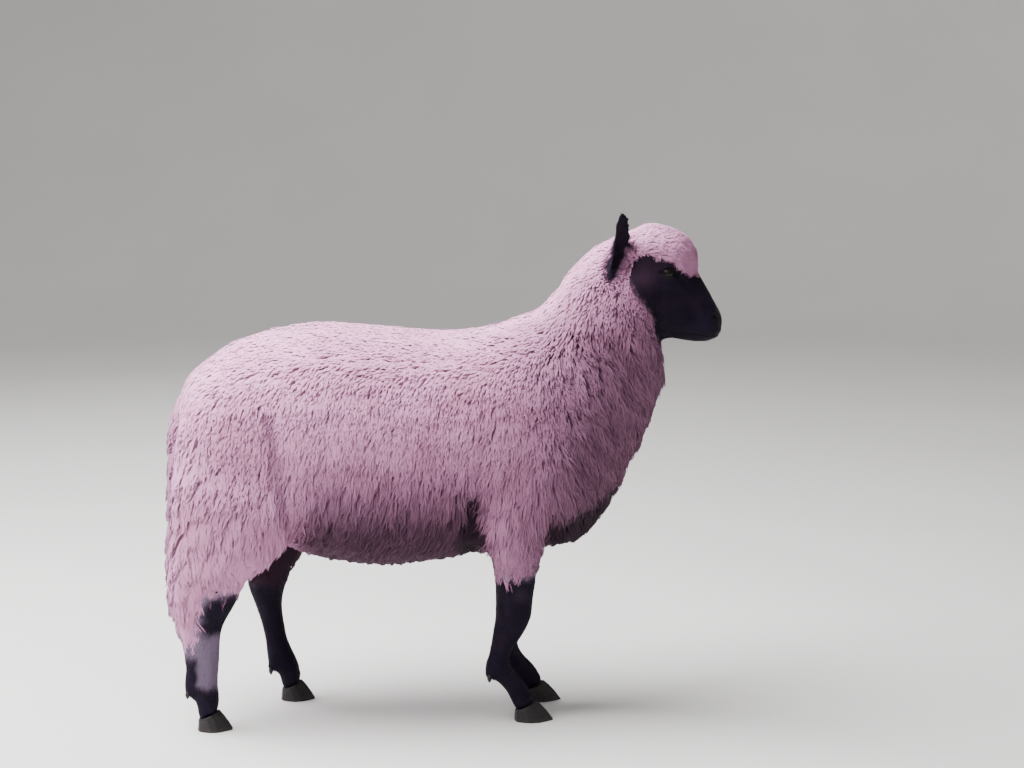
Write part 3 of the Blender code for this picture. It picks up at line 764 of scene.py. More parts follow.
def sculpt_head(mesh):
    """Gives the face its forms and its lids, and returns how deep in a nostril or mouth points are."""
    points = points_of(mesh)
    head = to_head(points)
    near = np.flatnonzero(np.linalg.norm(head, axis=1) < HEAD_REACH)
    local = head[near]
    mirrored = local * np.where(local[:, 1:2] < 0, (1, -1, 1), (1, 1, 1))
    rise = np.zeros(len(near))
    pit = np.zeros(len(near))
    surface = BVHTree.FromPolygons([Vector(c) for c in head], [tuple(p.vertices) for p in mesh.polygons])
    for name, line, width, height in FACE_FORMS:
        close = near_line(mirrored, line, width, surface)
        rise += 0.001 * height * close
        if name in ("nostril", "mouth", "mouth_front"):
            pit = np.maximum(pit, close)
    normals = to_head(normals_of(mesh)[near] + np.array(head_axes()[0]))
    local = local + normals * rise[:, None]
    low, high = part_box("eye_left")
    for side in (1, -1):
        local = shape_lids(local, side, (high.z - low.z) / 2)
    origin, ahead, across = head_axes()
    turn = np.array([ahead, across, (0, 0, 1)])
    points[near] = local @ turn + np.array(origin)
    set_points(mesh, points)
    deep = np.zeros(len(points))
    deep[near] = pit
    return deep


def unwrap(obj):
    """Lays the skin's own shape out flat, for the tufts' colours."""
    bpy.context.view_layer.objects.active = obj
    obj.select_set(True)
    bpy.ops.object.mode_set(mode="EDIT")
    bpy.ops.mesh.select_all(action="SELECT")
    bpy.ops.uv.smart_project(angle_limit=math.radians(66), island_margin=0.002)
    bpy.ops.object.mode_set(mode="OBJECT")
    obj.select_set(False)
    obj.data.uv_layers.active.name = BAKE_MAP


# ---------------------------------------------------------------- regions of the coat

# Slices of the fleece along the body and the X where each ends, every one in a left and a right piece.
SLICES = (
    ("rump", -0.365),
    ("loin", -0.205),
    ("barrel", -0.050),
    ("shoulder", 0.095),
    ("breast", 0.205),
    ("neck", FAR),
)
HAIR_NAMES = ("hair_head", "hair_ears", "hair_fore_legs", "hair_hind_legs")


def fleece_names():
    return [f"fleece_{part}_{side}" for part, _ in SLICES for side in ("left", "right")] + ["fleece_head"]


def region_of(mesh):
    """The number of the fleece piece and of the hair piece that each face belongs to."""
    centres = face_middles(mesh)
    edges = np.array([end for _, end in SLICES])
    fleece = 2 * np.searchsorted(edges, centres[:, 0]) + (centres[:, 1] < 0)
    reach = np.linalg.norm(to_head(centres), axis=1)
    on_head = (reach < 0.115) | ((centres[:, 2] > 0.80) & (reach < 0.15))
    fleece = np.where(on_head, len(fleece_names()) - 1, fleece)
    ears = distance_to(EARS, centres) < 0.006
    legs = np.where(centres[:, 0] > 0, 2, 3)
    hair = np.where(ears, 1, np.where(centres[:, 2] > 0.4, 0, legs))
    return fleece, hair


def store_faces(mesh, name, values):
    attribute = mesh.attributes.new(name, "INT", "FACE")
    attribute.data.foreach_set("value", values.astype(np.int32))


# ---------------------------------------------------------------- coat tree

COAT_INPUTS = {
    "String": ("Region Name",),
    "Int": ("Region", "Segments", "Seed"),
    "Float": (
        "Spacing",
        "Cover",
        "Length",
        "Width",
        "Flatness",
        "Rise",
        "Root Depth",
        "Sway",
        "Spread",
        "Clump Size",
        "Clump Pull",
        "Clump Step",
        "Staple Size",
        "Staple Pull",
        "Staple Step",
        "Softness",
    ),
    "Material": ("Material",),
}
# Clumps are longer than wide, because wool hangs. Tips are drawn together across the lie, and about
# half as much along it.
CLUMP_STRETCH = (1.0, 1.0, 2.0)
CLUMP_ALONG = -0.45
# How much a tuft differs from the others of its place, as a share of its size.
CHANGES = {"Length": 0.5, "Width": 0.5, "Rise": 0.2}
# The shares of a tuft's tone that are its own, its clump's and its staple's.
TUFT_TONE, CLUMP_TONE, STAPLE_TONE = 0.35, 0.25, 0.40
# Inputs that may vary over the skin, which each tuft keeps as they are at its root.
KEPT_INPUTS = ("Length", "Width", "Rise", "Clump Pull", "Staple Pull")
ROOT_VECTORS = ("form", "chance", "lie", "up", "root", "root_map")
# Roots drawn on each square of the spacing, before those too close to others are dropped.
ROOT_CROWDING = 1.6


def coat_tree():
    """Nodes that plant one kind of tuft over a region of the skin and lay each tuft along it."""
    tree = bpy.data.node_groups.new("Coat", "GeometryNodeTree")
    tree.interface.new_socket(name="Geometry", in_out="INPUT", socket_type="NodeSocketGeometry")
    for kind, names in COAT_INPUTS.items():
        for name in names:
            tree.interface.new_socket(name=name, in_out="INPUT", socket_type="NodeSocket" + kind)
    tree.interface.new_socket(name="Geometry", in_out="OUTPUT", socket_type="NodeSocketGeometry")
    given = add(tree, "NodeGroupInput", out=None)
    tufts = planted_tufts(tree, given)
    tuft = {name: add(tree, READ, name, data_type="FLOAT_VECTOR") for name in ROOT_VECTORS}
    for name in KEPT_INPUTS:
        tuft[name] = add(tree, READ, "tuft " + name, data_type="FLOAT")
    tuft["form"] = add(tree, PARTS_OF, tuft["form"], out=None)
    tuft["chance"] = add(tree, PARTS_OF, tuft["chance"], out=None)
    place_of, tone = laid_tuft(tree, given, tuft)
    laid = add(tree, "GeometryNodeSetPosition", tufts, named={"Position": place_of})
    parts = {"Geometry": laid, "Name": "tone", "Value": tone}
    laid = add(tree, STORE, named=parts, data_type="FLOAT", domain="POINT")

    # The bake map: each tuft is a small patch at its root's place on the skin's own unwrap.
    patch = add(tree, "ShaderNodeCombineXYZ", tuft["form"][0], tuft["form"][2])
    patch = add(tree, VECTORS, patch, (TUFT_PATCH / 2, TUFT_PATCH, 0.0), operation="MULTIPLY")
    patch = add(tree, VECTORS, patch, tuft["root_map"], operation="ADD")
    parts = {"Geometry": laid, "Name": BAKE_MAP, "Value": patch}
    laid = add(tree, STORE, named=parts, data_type="FLOAT2", domain="CORNER")
    laid = add(tree, "GeometryNodeSetShadeSmooth", laid)

    # Fibres scatter light as the body under them would, so normals lean from the tuft's to the body's.
    own = add(tree, "GeometryNodeInputNormal")
    parts = {0: given["Softness"], 4: own, 5: tuft["up"]}
    soft = add(tree, "ShaderNodeMix", named=parts, out=1, data_type="VECTOR")
    parts = {"Mesh": laid, "Custom Normal": soft}
    laid = add(tree, "GeometryNodeSetMeshNormal", named=parts, mode="FREE", domain="POINT")
    laid = add(tree, "GeometryNodeSetMaterial", laid, named={"Material": given["Material"]})
    add(tree, "NodeGroupOutput", laid, out=None)
    return tree


def laid_tuft(tree, given, tuft):
    """Where a tuft's points come to lie, and its tone."""
    lie, up, along, luck = tuft["lie"], tuft["up"], tuft["form"][2], tuft["chance"]

    # Each tuft leans a little to one side of the lie, and rises to its height before its tip turns in.
    side = add(tree, VECTORS, up, lie, operation="CROSS_PRODUCT")
    lean = add(tree, MATHS, luck[1], 0.5, operation="SUBTRACT")
    lean = add(tree, MATHS, lean, given["Spread"], operation="MULTIPLY")
    lean = add(tree, VECTORS, side, named={"Scale": lean}, operation="SCALE")
    way = add(tree, VECTORS, lie, lean, operation="ADD")
    size = {}
    for (name, change), draw in zip(CHANGES.items(), (luck[0], luck[2], luck[1])):
        share = add(tree, MATHS, draw, change, 1 - change / 2, operation="MULTIPLY_ADD")
        size[name] = add(tree, MATHS, tuft[name], share, operation="MULTIPLY")
    ahead = add(tree, MATHS, size["Length"], along, operation="MULTIPLY")
    climb = add(tree, MATHS, along, -1.5, 2.4, operation="MULTIPLY_ADD")
    climb = add(tree, MATHS, climb, along, operation="MULTIPLY")
    climb = add(tree, MATHS, climb, size["Rise"], operation="MULTIPLY")
    wave = add(tree, MATHS, along, 0.75, luck[0], operation="MULTIPLY_ADD")
    wave = add(tree, MATHS, wave, 2 * math.pi, operation="MULTIPLY")
    wave = add(tree, MATHS, wave, operation="SINE")
    for factor in (given["Sway"], size["Width"], along):
        wave = add(tree, MATHS, wave, factor, operation="MULTIPLY")
    place_of, climb, tone = gathered(tree, given, tuft, climb)

    # Cross-section: fullest at a quarter of the length, flattened against the body, closed at the tip.
    half = add(tree, MATHS, along, 1.0, 0.5, operation="MULTIPLY_ADD")
    half = add(tree, MATHS, half, size["Width"], operation="MULTIPLY")
    across = add(tree, MATHS, tuft["form"][0], half, wave, operation="MULTIPLY_ADD")
    thick = add(tree, MATHS, half, given["Flatness"], operation="MULTIPLY")
    outward = add(tree, MATHS, tuft["form"][1], thick, climb, operation="MULTIPLY_ADD")
    outward = add(tree, MATHS, outward, given["Root Depth"], operation="SUBTRACT")
    for direction, amount in ((way, ahead), (side, across), (up, outward)):
        part = add(tree, VECTORS, direction, named={"Scale": amount}, operation="SCALE")
        place_of = add(tree, VECTORS, place_of, part, operation="ADD")
    return place_of, tone


def gathered(tree, given, tuft, climb):
    """Tufts gather in clumps and clumps in staples: tips are drawn to the middle of each, which stands
    highest, and both have a tone of their own.
    """
    gather = add(tree, MATHS, tuft["form"][2], 1.3, operation="POWER")
    root, place_of = tuft["root"], tuft["root"]
    tone = add(tree, MATHS, tuft["chance"][2], TUFT_TONE, operation="MULTIPLY")
    for kind, tone_share in (("Clump", CLUMP_TONE), ("Staple", STAPLE_TONE)):
        cell = add(tree, VECTORS, CLUMP_STRETCH, named={"Scale": given[kind + " Size"]}, operation="SCALE")
        cells = add(tree, VECTORS, root, cell, operation="DIVIDE")
        cells = add(tree, "ShaderNodeTexVoronoi", cells, named={"Scale": 1.0}, out=None)
        centre = add(tree, VECTORS, cells["Position"], cell, operation="MULTIPLY")
        centre = add(tree, VECTORS, centre, root, operation="SUBTRACT")
        for direction, share in ((tuft["up"], -1.0), (tuft["lie"], CLUMP_ALONG)):
            part = add(tree, VECTORS, centre, direction, out="Value", operation="DOT_PRODUCT")
            part = add(tree, MATHS, part, share, operation="MULTIPLY")
            part = add(tree, VECTORS, direction, named={"Scale": part}, operation="SCALE")
            centre = add(tree, VECTORS, centre, part, operation="ADD")
        drawn = add(tree, MATHS, gather, tuft[kind + " Pull"], operation="MULTIPLY")
        centre = add(tree, VECTORS, centre, named={"Scale": drawn}, operation="SCALE")
        place_of = add(tree, VECTORS, place_of, centre, operation="ADD")
        cell_luck = add(tree, PARTS_OF, cells["Color"], out=None)
        height = add(tree, MATHS, cell_luck[0], 0.6, 0.05, operation="MULTIPLY_ADD")
        height = add(tree, MATHS, height, cells["Distance"], operation="SUBTRACT")
        for factor in (given[kind + " Step"], drawn):
            height = add(tree, MATHS, height, factor, operation="MULTIPLY")
        climb = add(tree, MATHS, climb, height, operation="ADD")
        tone = add(tree, MATHS, cell_luck[1], tone_share, tone, operation="MULTIPLY_ADD")
    return place_of, climb, tone


def planted_tufts(tree, given):
    """Roots scattered over the region's faces, each with a plain tuft that knows its luck and sizes."""
    region = add(tree, READ, given["Region Name"], data_type="INT")
    parts = {2: region, 3: given["Region"]}
    here = add(tree, "FunctionNodeCompare", named=parts, data_type="INT", operation="EQUAL")
    density = add(tree, MATHS, given["Spacing"], given["Spacing"], operation="MULTIPLY")
    density = add(tree, MATHS, ROOT_CROWDING, density, operation="DIVIDE")
    parts = {
        "Mesh": given["Geometry"],
        "Selection": here,
        "Distance Min": given["Spacing"],
        "Density Max": density,
        "Density Factor": given["Cover"],
        "Seed": given["Seed"],
    }
    scatter = "GeometryNodeDistributePointsOnFaces"
    roots = add(tree, scatter, named=parts, out="Points", distribute_method="POISSON")
    at = add(tree, "GeometryNodeInputPosition")
    chance = add(tree, "FunctionNodeRandomValue", named={"Seed": given["Seed"]}, data_type="FLOAT_VECTOR")
    base_map = add(tree, READ, BAKE_MAP, data_type="FLOAT_VECTOR")
    vectors = (("root", at), ("chance", chance), ("root_map", base_map))
    for name, value in (*vectors, *(("tuft " + name, given[name]) for name in KEPT_INPUTS)):
        kind = "FLOAT" if name.startswith("tuft") else "FLOAT_VECTOR"
        parts = {"Geometry": roots, "Name": name, "Value": value}
        roots = add(tree, STORE, named=parts, data_type=kind, domain="POINT")
    roots = add(tree, "GeometryNodeRemoveAttribute", roots, named={"Name": BAKE_MAP})
    parts = {
        "Vertices": 3,
        "Side Segments": given["Segments"],
        "Radius Top": 0.0,
        "Radius Bottom": 1.0,
        "Depth": 1.0,
    }
    cone = add(tree, "GeometryNodeMeshCone", named=parts, out="Mesh", fill_type="NGON")
    parts = {"Geometry": cone, "Name": "form", "Value": at}
    tuft = add(tree, STORE, named=parts, data_type="FLOAT_VECTOR", domain="POINT")
    planted = add(tree, "GeometryNodeInstanceOnPoints", roots, named={"Instance": tuft})
    return add(tree, "GeometryNodeRealizeInstances", planted)


def grow(name, skin, tree, inputs, kept):
    """One piece of the coat over the skin, as a plain mesh."""
    source = place("coat_source", skin.data)
    modifier = source.modifiers.new("coat", "NODES")
    modifier.node_group = tree
    for item in tree.interface.items_tree:
        if item.in_out == "INPUT" and item.name in inputs:
            given = inputs[item.name]
            if item.name != "Region Name" and isinstance(given, str):
                modifier[item.identifier + "_use_attribute"] = True
                modifier[item.identifier + "_attribute_name"] = given
            else:
                modifier[item.identifier] = given
    mesh = plain(source)
    bpy.data.objects.remove(source)
    kept = (*kept, "custom_normal", BAKE_MAP)
    spent = [a.name for a in mesh.attributes if not (a.is_internal or a.is_required or a.name in kept)]
    for attribute in spent:
        mesh.attributes.remove(mesh.attributes[attribute])
    mesh.name = name
    return finish_piece(name, mesh, inputs["Material"])


# ---------------------------------------------------------------- settings


def length_setting(name, description, default):
    return bpy.props.FloatProperty(name=name, description=description, default=default, unit="LENGTH")


def colour_setting(name, description, code):
    default = linear(code, False)
    return bpy.props.FloatVectorProperty(
        name=name, description=description, default=default, subtype="COLOR"
    )


class EweFleece(bpy.types.PropertyGroup):
    depth: length_setting("Depth", "Skin to lock tips on the body", 0.021)
    length: length_setting("Lock length", "Length of a lock on the flank", 0.033)
    width: length_setting("Lock width", "Width of a lock on the flank", 0.0040)
    spacing: length_setting("Spacing", "Least distance between lock roots", 0.00275)
    clump: length_setting("Clump", "Width of the clumps that locks gather in", 0.0095)
    staple: length_setting("Staple", "Width of the staples that clumps gather in", 0.0190)
    colour: colour_setting("Wool", "Clean wool", 0xDE9CC6)
    # The dark colour of dirty wool, which also paints the shade low on the coat.
    soiled_or_shaded: colour_setting("Soiled wool", "Wool dark with dirt", 0x2A1826)
    # Darker than the wool: painted shade deep among the locks, near their roots and on the skin under them.
    root: colour_setting("Wool root", "Wool near the skin", 0xC28EB0)


class EweHair(bpy.types.PropertyGroup):
    depth: length_setting("Depth", "Skin to hair tips", 0.0015)
    length: length_setting("Length", "Length of a tuft on the legs", 0.0070)
    width: length_setting("Width", "Width of a tuft on the legs", 0.0012)
    spacing: length_setting("Spacing", "Least distance between tuft roots", 0.00225)
    colour: colour_setting("Hair", "Dark hair of face and legs", 0x0F051B)
    faded: colour_setting("Faded hair", "Weathered dark hair", 0x1C0F20)
    temple: colour_setting("Temple", "Brown hair behind the eye", 0x422B40)
    pale: colour_setting("Pale hair", "Grey hair of the pale leg", 0x7A6A82)


class EweEyes(bpy.types.PropertyGroup):
    iris: colour_setting("Iris", "Colour of the iris", 0x180E0A)
    cornea: length_setting("Cornea", "How far the cornea stands out", 0.0009)


class EweHooves(bpy.types.PropertyGroup):
    colour: colour_setting("Horn", "Colour of the hoof wall", 0x1B1719)
    ring: length_setting("Growth ring", "Distance between growth rings", 0.0052)


class EweStage(bpy.types.PropertyGroup):
    floor: colour_setting("Floor", "Colour of the floor", 0xD8D6D4)
    key: bpy.props.FloatProperty(
        name="Key light", description="Power of the softbox above", default=520.0, unit="POWER"
    )
    fill: bpy.props.FloatProperty(
        name="Fill lights", description="Power of each fill light", default=20.0, unit="POWER"
    )
    lens: bpy.props.FloatProperty(
        name="Lens", description="Focal length", default=94.92, subtype="DISTANCE_CAMERA"
    )


class EweSettings(bpy.types.PropertyGroup):
    fleece: bpy.props.PointerProperty(type=EweFleece)
    hair: bpy.props.PointerProperty(type=EweHair)
    eyes: bpy.props.PointerProperty(type=EweEyes)
    hooves: bpy.props.PointerProperty(type=EweHooves)
    stage: bpy.props.PointerProperty(type=EweStage)


# ---------------------------------------------------------------- materials


# Sizes of the soft patches in wool, hair and floor, of the streaks in hair and horn (the last as
# streaks to a metre), and how far the wool's crimp turns along a lock.
WOOL_PATCH = 0.090
HAIR_PATCH = 0.034
BOARD_PATCH = 0.6
HAIR_STREAK = 0.0012
HORN_STREAKS = 420.0
CRIMP_TURN = 56.0
# Colours that no setting changes: bare hide, the worn foot of a hoof, and the rim round the iris, the
# white and the pupil of an eye.
BARE_HIDE = 0x0E0B10
WORN_HORN = 0x332C2A
EYE_RIM, EYE_WHITE, PUPIL = 0x0A0706, 0x120E0E, 0x050506


def blank_material(name):
    """A material with nothing but its shader, and that shader."""
    material = bpy.data.materials.new(name)
    material.use_nodes = True
    material.node_tree.nodes.clear()
    surface = add(material.node_tree, "ShaderNodeBsdfPrincipled")
    add(material.node_tree, "ShaderNodeOutputMaterial", surface, out=None)
    return material, surface.node


def set_shader(shader, values):
    for name, value in values.items():
        shader.inputs[name].default_value = value


def opaque(colour):
    return (*colour, 1.0)


def patchy(tree, size, low, high):
    """Soft patches of that size, as a value from 0 to 1."""
    where = add(tree, "ShaderNodeTexCoord", out="Object")
    noise = add(tree, NOISE, where, named={"Scale": 1 / size, "Detail": 3.0})
    return add(tree, RANGE, noise, low, high)


def clean_wool(tree):
    """Cream wool with a pink cast, duller in patches."""
    colour = settings().fleece.colour
    dull = [c * k for c, k in zip(colour, (0.84, 0.78, 0.78))]
    parts = {SHARE: patchy(tree, WOOL_PATCH, 0.42, 0.72), FIRST: opaque(colour), SECOND: opaque(dull)}
    return add(tree, named=parts, **COLOUR_MIX)


def coat_colours(tree, pale):
    """The markings, the same on skin, locks and hair: pale wool, darkened where painted shade and dirt lie,
    and dark hair.
    """
    hair = settings().hair
    soil = add(tree, ATTRIBUTE, attribute_name="soil", out="Fac")
    parts = {SHARE: soil, FIRST: pale, SECOND: opaque(settings().fleece.soiled_or_shaded)}
    light = add(tree, named=parts, **COLOUR_MIX)
    faded = patchy(tree, HAIR_PATCH, 0.45, 0.75)
    parts = {SHARE: faded, FIRST: opaque(hair.colour), SECOND: opaque(hair.faded)}
    dark = add(tree, named=parts, **COLOUR_MIX)
    fade = add(tree, ATTRIBUTE, attribute_name="fade", out="Fac")
    parts = {SHARE: fade, FIRST: dark, SECOND: opaque(hair.temple)}
    dark = add(tree, named=parts, **COLOUR_MIX)
    marking = add(tree, ATTRIBUTE, attribute_name="dark", out="Fac")
    return add(tree, named={SHARE: marking, FIRST: light, SECOND: dark}, **COLOUR_MIX)


def toned(tree, colour, low, high):
    """The colour, lighter or darker by the tone of the tuft."""
    tone = add(tree, ATTRIBUTE, attribute_name="tone", out="Fac")
    shade = add(tree, RANGE, tone, named={3: low, 4: high})
    return add(tree, VECTORS, colour, named={"Scale": shade}, operation="SCALE")


def wool_material():
    """Wool: fine crimped fibre in locks, which scatters light softly and shows no highlight."""
    material, shader = blank_material("raw_wool")
    tree = material.node_tree
    sheen = {"Sheen Weight": 0.05, "Sheen Roughness": 0.6}
    set_shader(shader, {"Roughness": 0.9, "Specular IOR Level": 0.1, **sheen})
    form = add(tree, ATTRIBUTE, attribute_name="form", out="Vector")
    across, _, along = add(tree, PARTS_OF, form, out=None)
    body = coat_colours(tree, clean_wool(tree))
    # Painted shade: the lower part of a lock, deep among the others, takes the darker root colour, except
    # where the wool is already painted dark.
    root_shade = add(tree, RANGE, along, named={1: 0.0, 2: 0.75, 3: 0.6, 4: 0.0})
    unshaded_and_clean = add(tree, ATTRIBUTE, attribute_name="soil", out="Fac")
    unshaded_and_clean = add(tree, MATHS, 1.0, unshaded_and_clean, operation="SUBTRACT")
    root_shade = add(tree, MATHS, root_shade, unshaded_and_clean, operation="MULTIPLY")
    parts = {SHARE: root_shade, FIRST: body, SECOND: opaque(settings().fleece.root)}
    tinted = add(tree, named=parts, **COLOUR_MIX)
    marking = add(tree, ATTRIBUTE, attribute_name="dark", out="Fac")
    tinted = add(tree, named={SHARE: marking, FIRST: tinted, SECOND: body}, **COLOUR_MIX)
    tree.links.new(toned(tree, tinted, 0.88, 1.07), shader.inputs["Base Color"])
    # Crimp: about nine waves on a lock, drawn coarser than the fibre's own so that it shows.
    wave = add(tree, MATHS, across, 0.11, along, operation="MULTIPLY_ADD")
    wave = add(tree, MATHS, wave, CRIMP_TURN, operation="MULTIPLY")
    wave = add(tree, MATHS, wave, operation="SINE")
    bump = add(tree, BUMP, named={"Strength": 0.2, "Distance": 0.0003, "Height": wave})
    tree.links.new(bump, shader.inputs["Normal"])
    return material


def hide_material():
    """Skin with short flat hair: near-black with a weak broad highlight, and matt under wool."""
    material, shader = blank_material("haired_hide")
    tree = material.node_tree
    set_shader(shader, {"Specular IOR Level": 0.14})
    wool = add(tree, ATTRIBUTE, attribute_name="wool", out="Fac")
    bare = add(tree, ATTRIBUTE, attribute_name="bare", out="Fac")
    soil = add(tree, ATTRIBUTE, attribute_name="soil", out="Fac")
    fleece = settings().fleece
    # Under wool the skin takes the locks' root colour, a painted shade, and darkens like the wool where
    # painted shade and dirt lie.
    parts = {SHARE: soil, FIRST: opaque(fleece.root), SECOND: opaque(fleece.soiled_or_shaded)}
    under = add(tree, named=parts, **COLOUR_MIX)
    haired = coat_colours(tree, opaque(settings().hair.pale))
    colour = add(tree, named={SHARE: wool, FIRST: haired, SECOND: under}, **COLOUR_MIX)
    colour = add(tree, named={SHARE: bare, FIRST: colour, SECOND: linear(BARE_HIDE)}, **COLOUR_MIX)
    tree.links.new(colour, shader.inputs["Base Color"])
    rough = add(tree, RANGE, bare, named={3: 0.66, 4: 0.52})
    tree.links.new(rough, shader.inputs["Roughness"])
    # Hair lies in streaks about a millimetre wide down the limbs, and bare hide has a grain as fine.
    where = add(tree, "ShaderNodeTexCoord", out="Object")
    stretched = add(tree, VECTORS, where, (1.0, 1.0, 0.28), operation="MULTIPLY")
    streaks = add(tree, NOISE, stretched, named={"Scale": 1 / HAIR_STREAK, "Detail": 2.0})
    parts = {"Strength": 0.5, "Distance": 0.0006, "Height": streaks}
    tree.links.new(add(tree, BUMP, named=parts), shader.inputs["Normal"])
    return material


def short_hair_material():
    """Short straight hair: smooth, dark and dull, each tuft a little lighter or darker."""
    material, shader = blank_material("short_hair")
    tree = material.node_tree
    set_shader(shader, {"Roughness": 0.6, "Specular IOR Level": 0.14})
    colour = toned(tree, coat_colours(tree, opaque(settings().hair.pale)), 0.75, 1.25)
    tree.links.new(colour, shader.inputs["Base Color"])
    return material


def eye_material():
    """A living eye: wet clear cornea over a brown iris with a level slit pupil."""
    material, shader = blank_material("wet_eye")
    tree = material.node_tree
    wet = {"Coat Weight": 0.35, "Coat Roughness": 0.02, "Coat IOR": 1.38}
    set_shader(shader, {"Roughness": 0.35, "Specular IOR Level": 0.1, **wet})
    gaze = add(tree, ATTRIBUTE, attribute_name="gaze", out="Vector")
    flat = add(tree, VECTORS, gaze, (1.0, 1.0, 0.0), operation="MULTIPLY")
    away = add(tree, VECTORS, flat, operation="LENGTH", out="Value")
    streaks = add(tree, NOISE, gaze, named={"Scale": 14.0, "Detail": 4.0})
    iris = settings().eyes.iris
    parts = {SHARE: streaks, FIRST: opaque([c * 0.35 for c in iris]), SECOND: opaque(iris)}
    colour = add(tree, named=parts, **COLOUR_MIX)
    rim = add(tree, RANGE, away, 0.52, 0.64)
    white = add(tree, RANGE, away, 0.70, 0.82)
    # The pupil is a level slit with round ends.
    flat = add(tree, VECTORS, flat, (0.36, 0.13, 1.0), operation="DIVIDE")
    long, tall, _ = add(tree, PARTS_OF, flat, out=None)
    long = add(tree, MATHS, long, 4.0, operation="POWER")
    tall = add(tree, MATHS, tall, 4.0, operation="POWER")
    slit = add(tree, MATHS, long, tall, operation="ADD")
    pupil = add(tree, RANGE, slit, 1.4, 0.7)
    for share, code in ((rim, EYE_RIM), (white, EYE_WHITE), (pupil, PUPIL)):
        colour = add(tree, named={SHARE: share, FIRST: colour, SECOND: linear(code)}, **COLOUR_MIX)
    tree.links.new(colour, shader.inputs["Base Color"])
    return material


def horn_material():
    """Hoof horn: keratin grown downward in rings, dull, scuffed paler towards the ground."""
    material, shader = blank_material("hoof_horn")
    tree = material.node_tree
    set_shader(shader, {"Roughness": 0.55, "Specular IOR Level": 0.35})
    where = add(tree, "ShaderNodeTexCoord", out="Object")
    height = add(tree, PARTS_OF, where, out="Z")
    worn = add(tree, RANGE, height, 0.010, 0.0, 0.0, 0.6)
    # Fibres of horn run down the wall, a little over 2 mm apart.
    stretched = add(tree, VECTORS, where, (1.0, 1.0, 0.2), operation="MULTIPLY")
    streaks = add(tree, NOISE, stretched, named={"Scale": HORN_STREAKS, "Detail": 3.0})
    base = settings().hooves.colour
    darker, lighter = ([c * k for c in base] for k in (0.6, 1.5))
    parts = {SHARE: streaks, FIRST: opaque(darker), SECOND: opaque(lighter)}
    colour = add(tree, named=parts, **COLOUR_MIX)
    colour = add(tree, named={SHARE: worn, FIRST: colour, SECOND: linear(WORN_HORN)}, **COLOUR_MIX)
    tree.links.new(colour, shader.inputs["Base Color"])
    parts = {"Strength": 0.4, "Distance": 0.0004, "Height": streaks}
    tree.links.new(add(tree, BUMP, named=parts), shader.inputs["Normal"])
    return material


def floor_material():
    """Matt painted board with a faint unevenness."""
    material, shader = blank_material("painted_board")
    tree = material.node_tree
    base = settings().stage.floor
    duller = [c * 0.97 for c in base]
    parts = {SHARE: patchy(tree, BOARD_PATCH, 0.35, 0.65), FIRST: opaque(base), SECOND: opaque(duller)}
    tree.links.new(add(tree, named=parts, **COLOUR_MIX), shader.inputs["Base Color"])
    set_shader(shader, {"Roughness": 0.8})
    return material


# ---------------------------------------------------------------- operators


def sink_skin(mesh, coat):
    """Lays the skin below the tips of its coat, and returns how deep, and the body's normals."""
    given = settings()
    edges = edges_of(mesh)
    shaped = shape_ears(coat)
    set_points(mesh, shaped)
    normals = normals_of(mesh)
    outward = unit(relax(normals, edges, 6))
    depth = relax(coat.depth(given.fleece.depth, given.hair.depth), edges, 3)
    sink = relax(coat.sink * coat.wool, edges, 3)
    set_points(mesh, shaped - outward * (depth + sink)[:, None])
    woolly = (0.6 * between(0.3, 0.9, coat.wool))[:, None]
    set_points(mesh, relax(points_of(mesh), edges, 4, woolly))
    return depth, normals


def flow_of_coat(mesh, coat, normals):
    """The way out of the coat, the way it lies, and how plainly it lies that way."""
    edges = edges_of(mesh)
    up = unit(relax(normals, edges, 10))
    lie = relax(coat.lie(up), edges, 8)
    lie = lie - up * np.sum(lie * up, axis=1, keepdims=True)
    return up, unit(lie), between(0.1, 0.75, np.linalg.norm(lie, axis=1))


def bare_hide(coat, deep):
    """Where next to no hair grows: in nostrils and mouth, on the lids and at the end of the nose."""
    bare = np.maximum(0.9 * deep, 0.8 * between(0.90, 0.99, coat.near_nose()))
    for side in (1, -1):
        away = np.linalg.norm(coat.head - np.array(eye_axes(side)[0]), axis=1)
        bare = np.maximum(bare, 1 - between(LIDS_REACH, LIDS_REACH + 0.0025, away))
    return np.clip(bare, 0, 1)


def lock_sizes(coat, depth, flow):
    """Sizes of the locks over the skin, and how strongly they gather."""
    given = settings().fleece
    size, hanging = coat.wool_size(), coat.hanging()
    return {
        "wool_length": given.length * size * mix(0.66, 1.1, hanging) * mix(0.35, 1.0, flow),
        "wool_width": given.width * mix(0.45, 1.0, size) * mix(1.5, 1.1, hanging),
        "wool_rise": depth * mix(0.92, 0.82, hanging) + 0.001,
        "wool_flatness": mix(0.35, 0.6, hanging),
        "clump_pull": mix(0.14, 0.82, hanging),
        "staple_pull": mix(0.15, 1.0, hanging),
        "wool_cover": between(0.05, 0.35, coat.wool),
    }


def hair_sizes(coat, bare):
    """Sizes of the tufts of short hair over the skin, longest just above the hooves."""
    given = settings().hair
    fine = coat.fineness()
    short = 1 - 0.35 * np.maximum(coat.near_head(), coat.ear)
    over_hoof = 1 - between(0.030, 0.048, coat.z)
    haired = (1 - between(0.35, 0.7, coat.wool)) * (1 - bare)
    return {
        "hair_length": given.length * short * fine * (1 + 0.6 * over_hoof),
        "hair_width": given.width * mix(0.6, 1.0, fine),
        "hair_rise": 0.0011 * fine * (1 + 0.8 * over_hoof),
        "hair_cover": haired * mix(0.75, 1.0, 1 - coat.ear),
    }


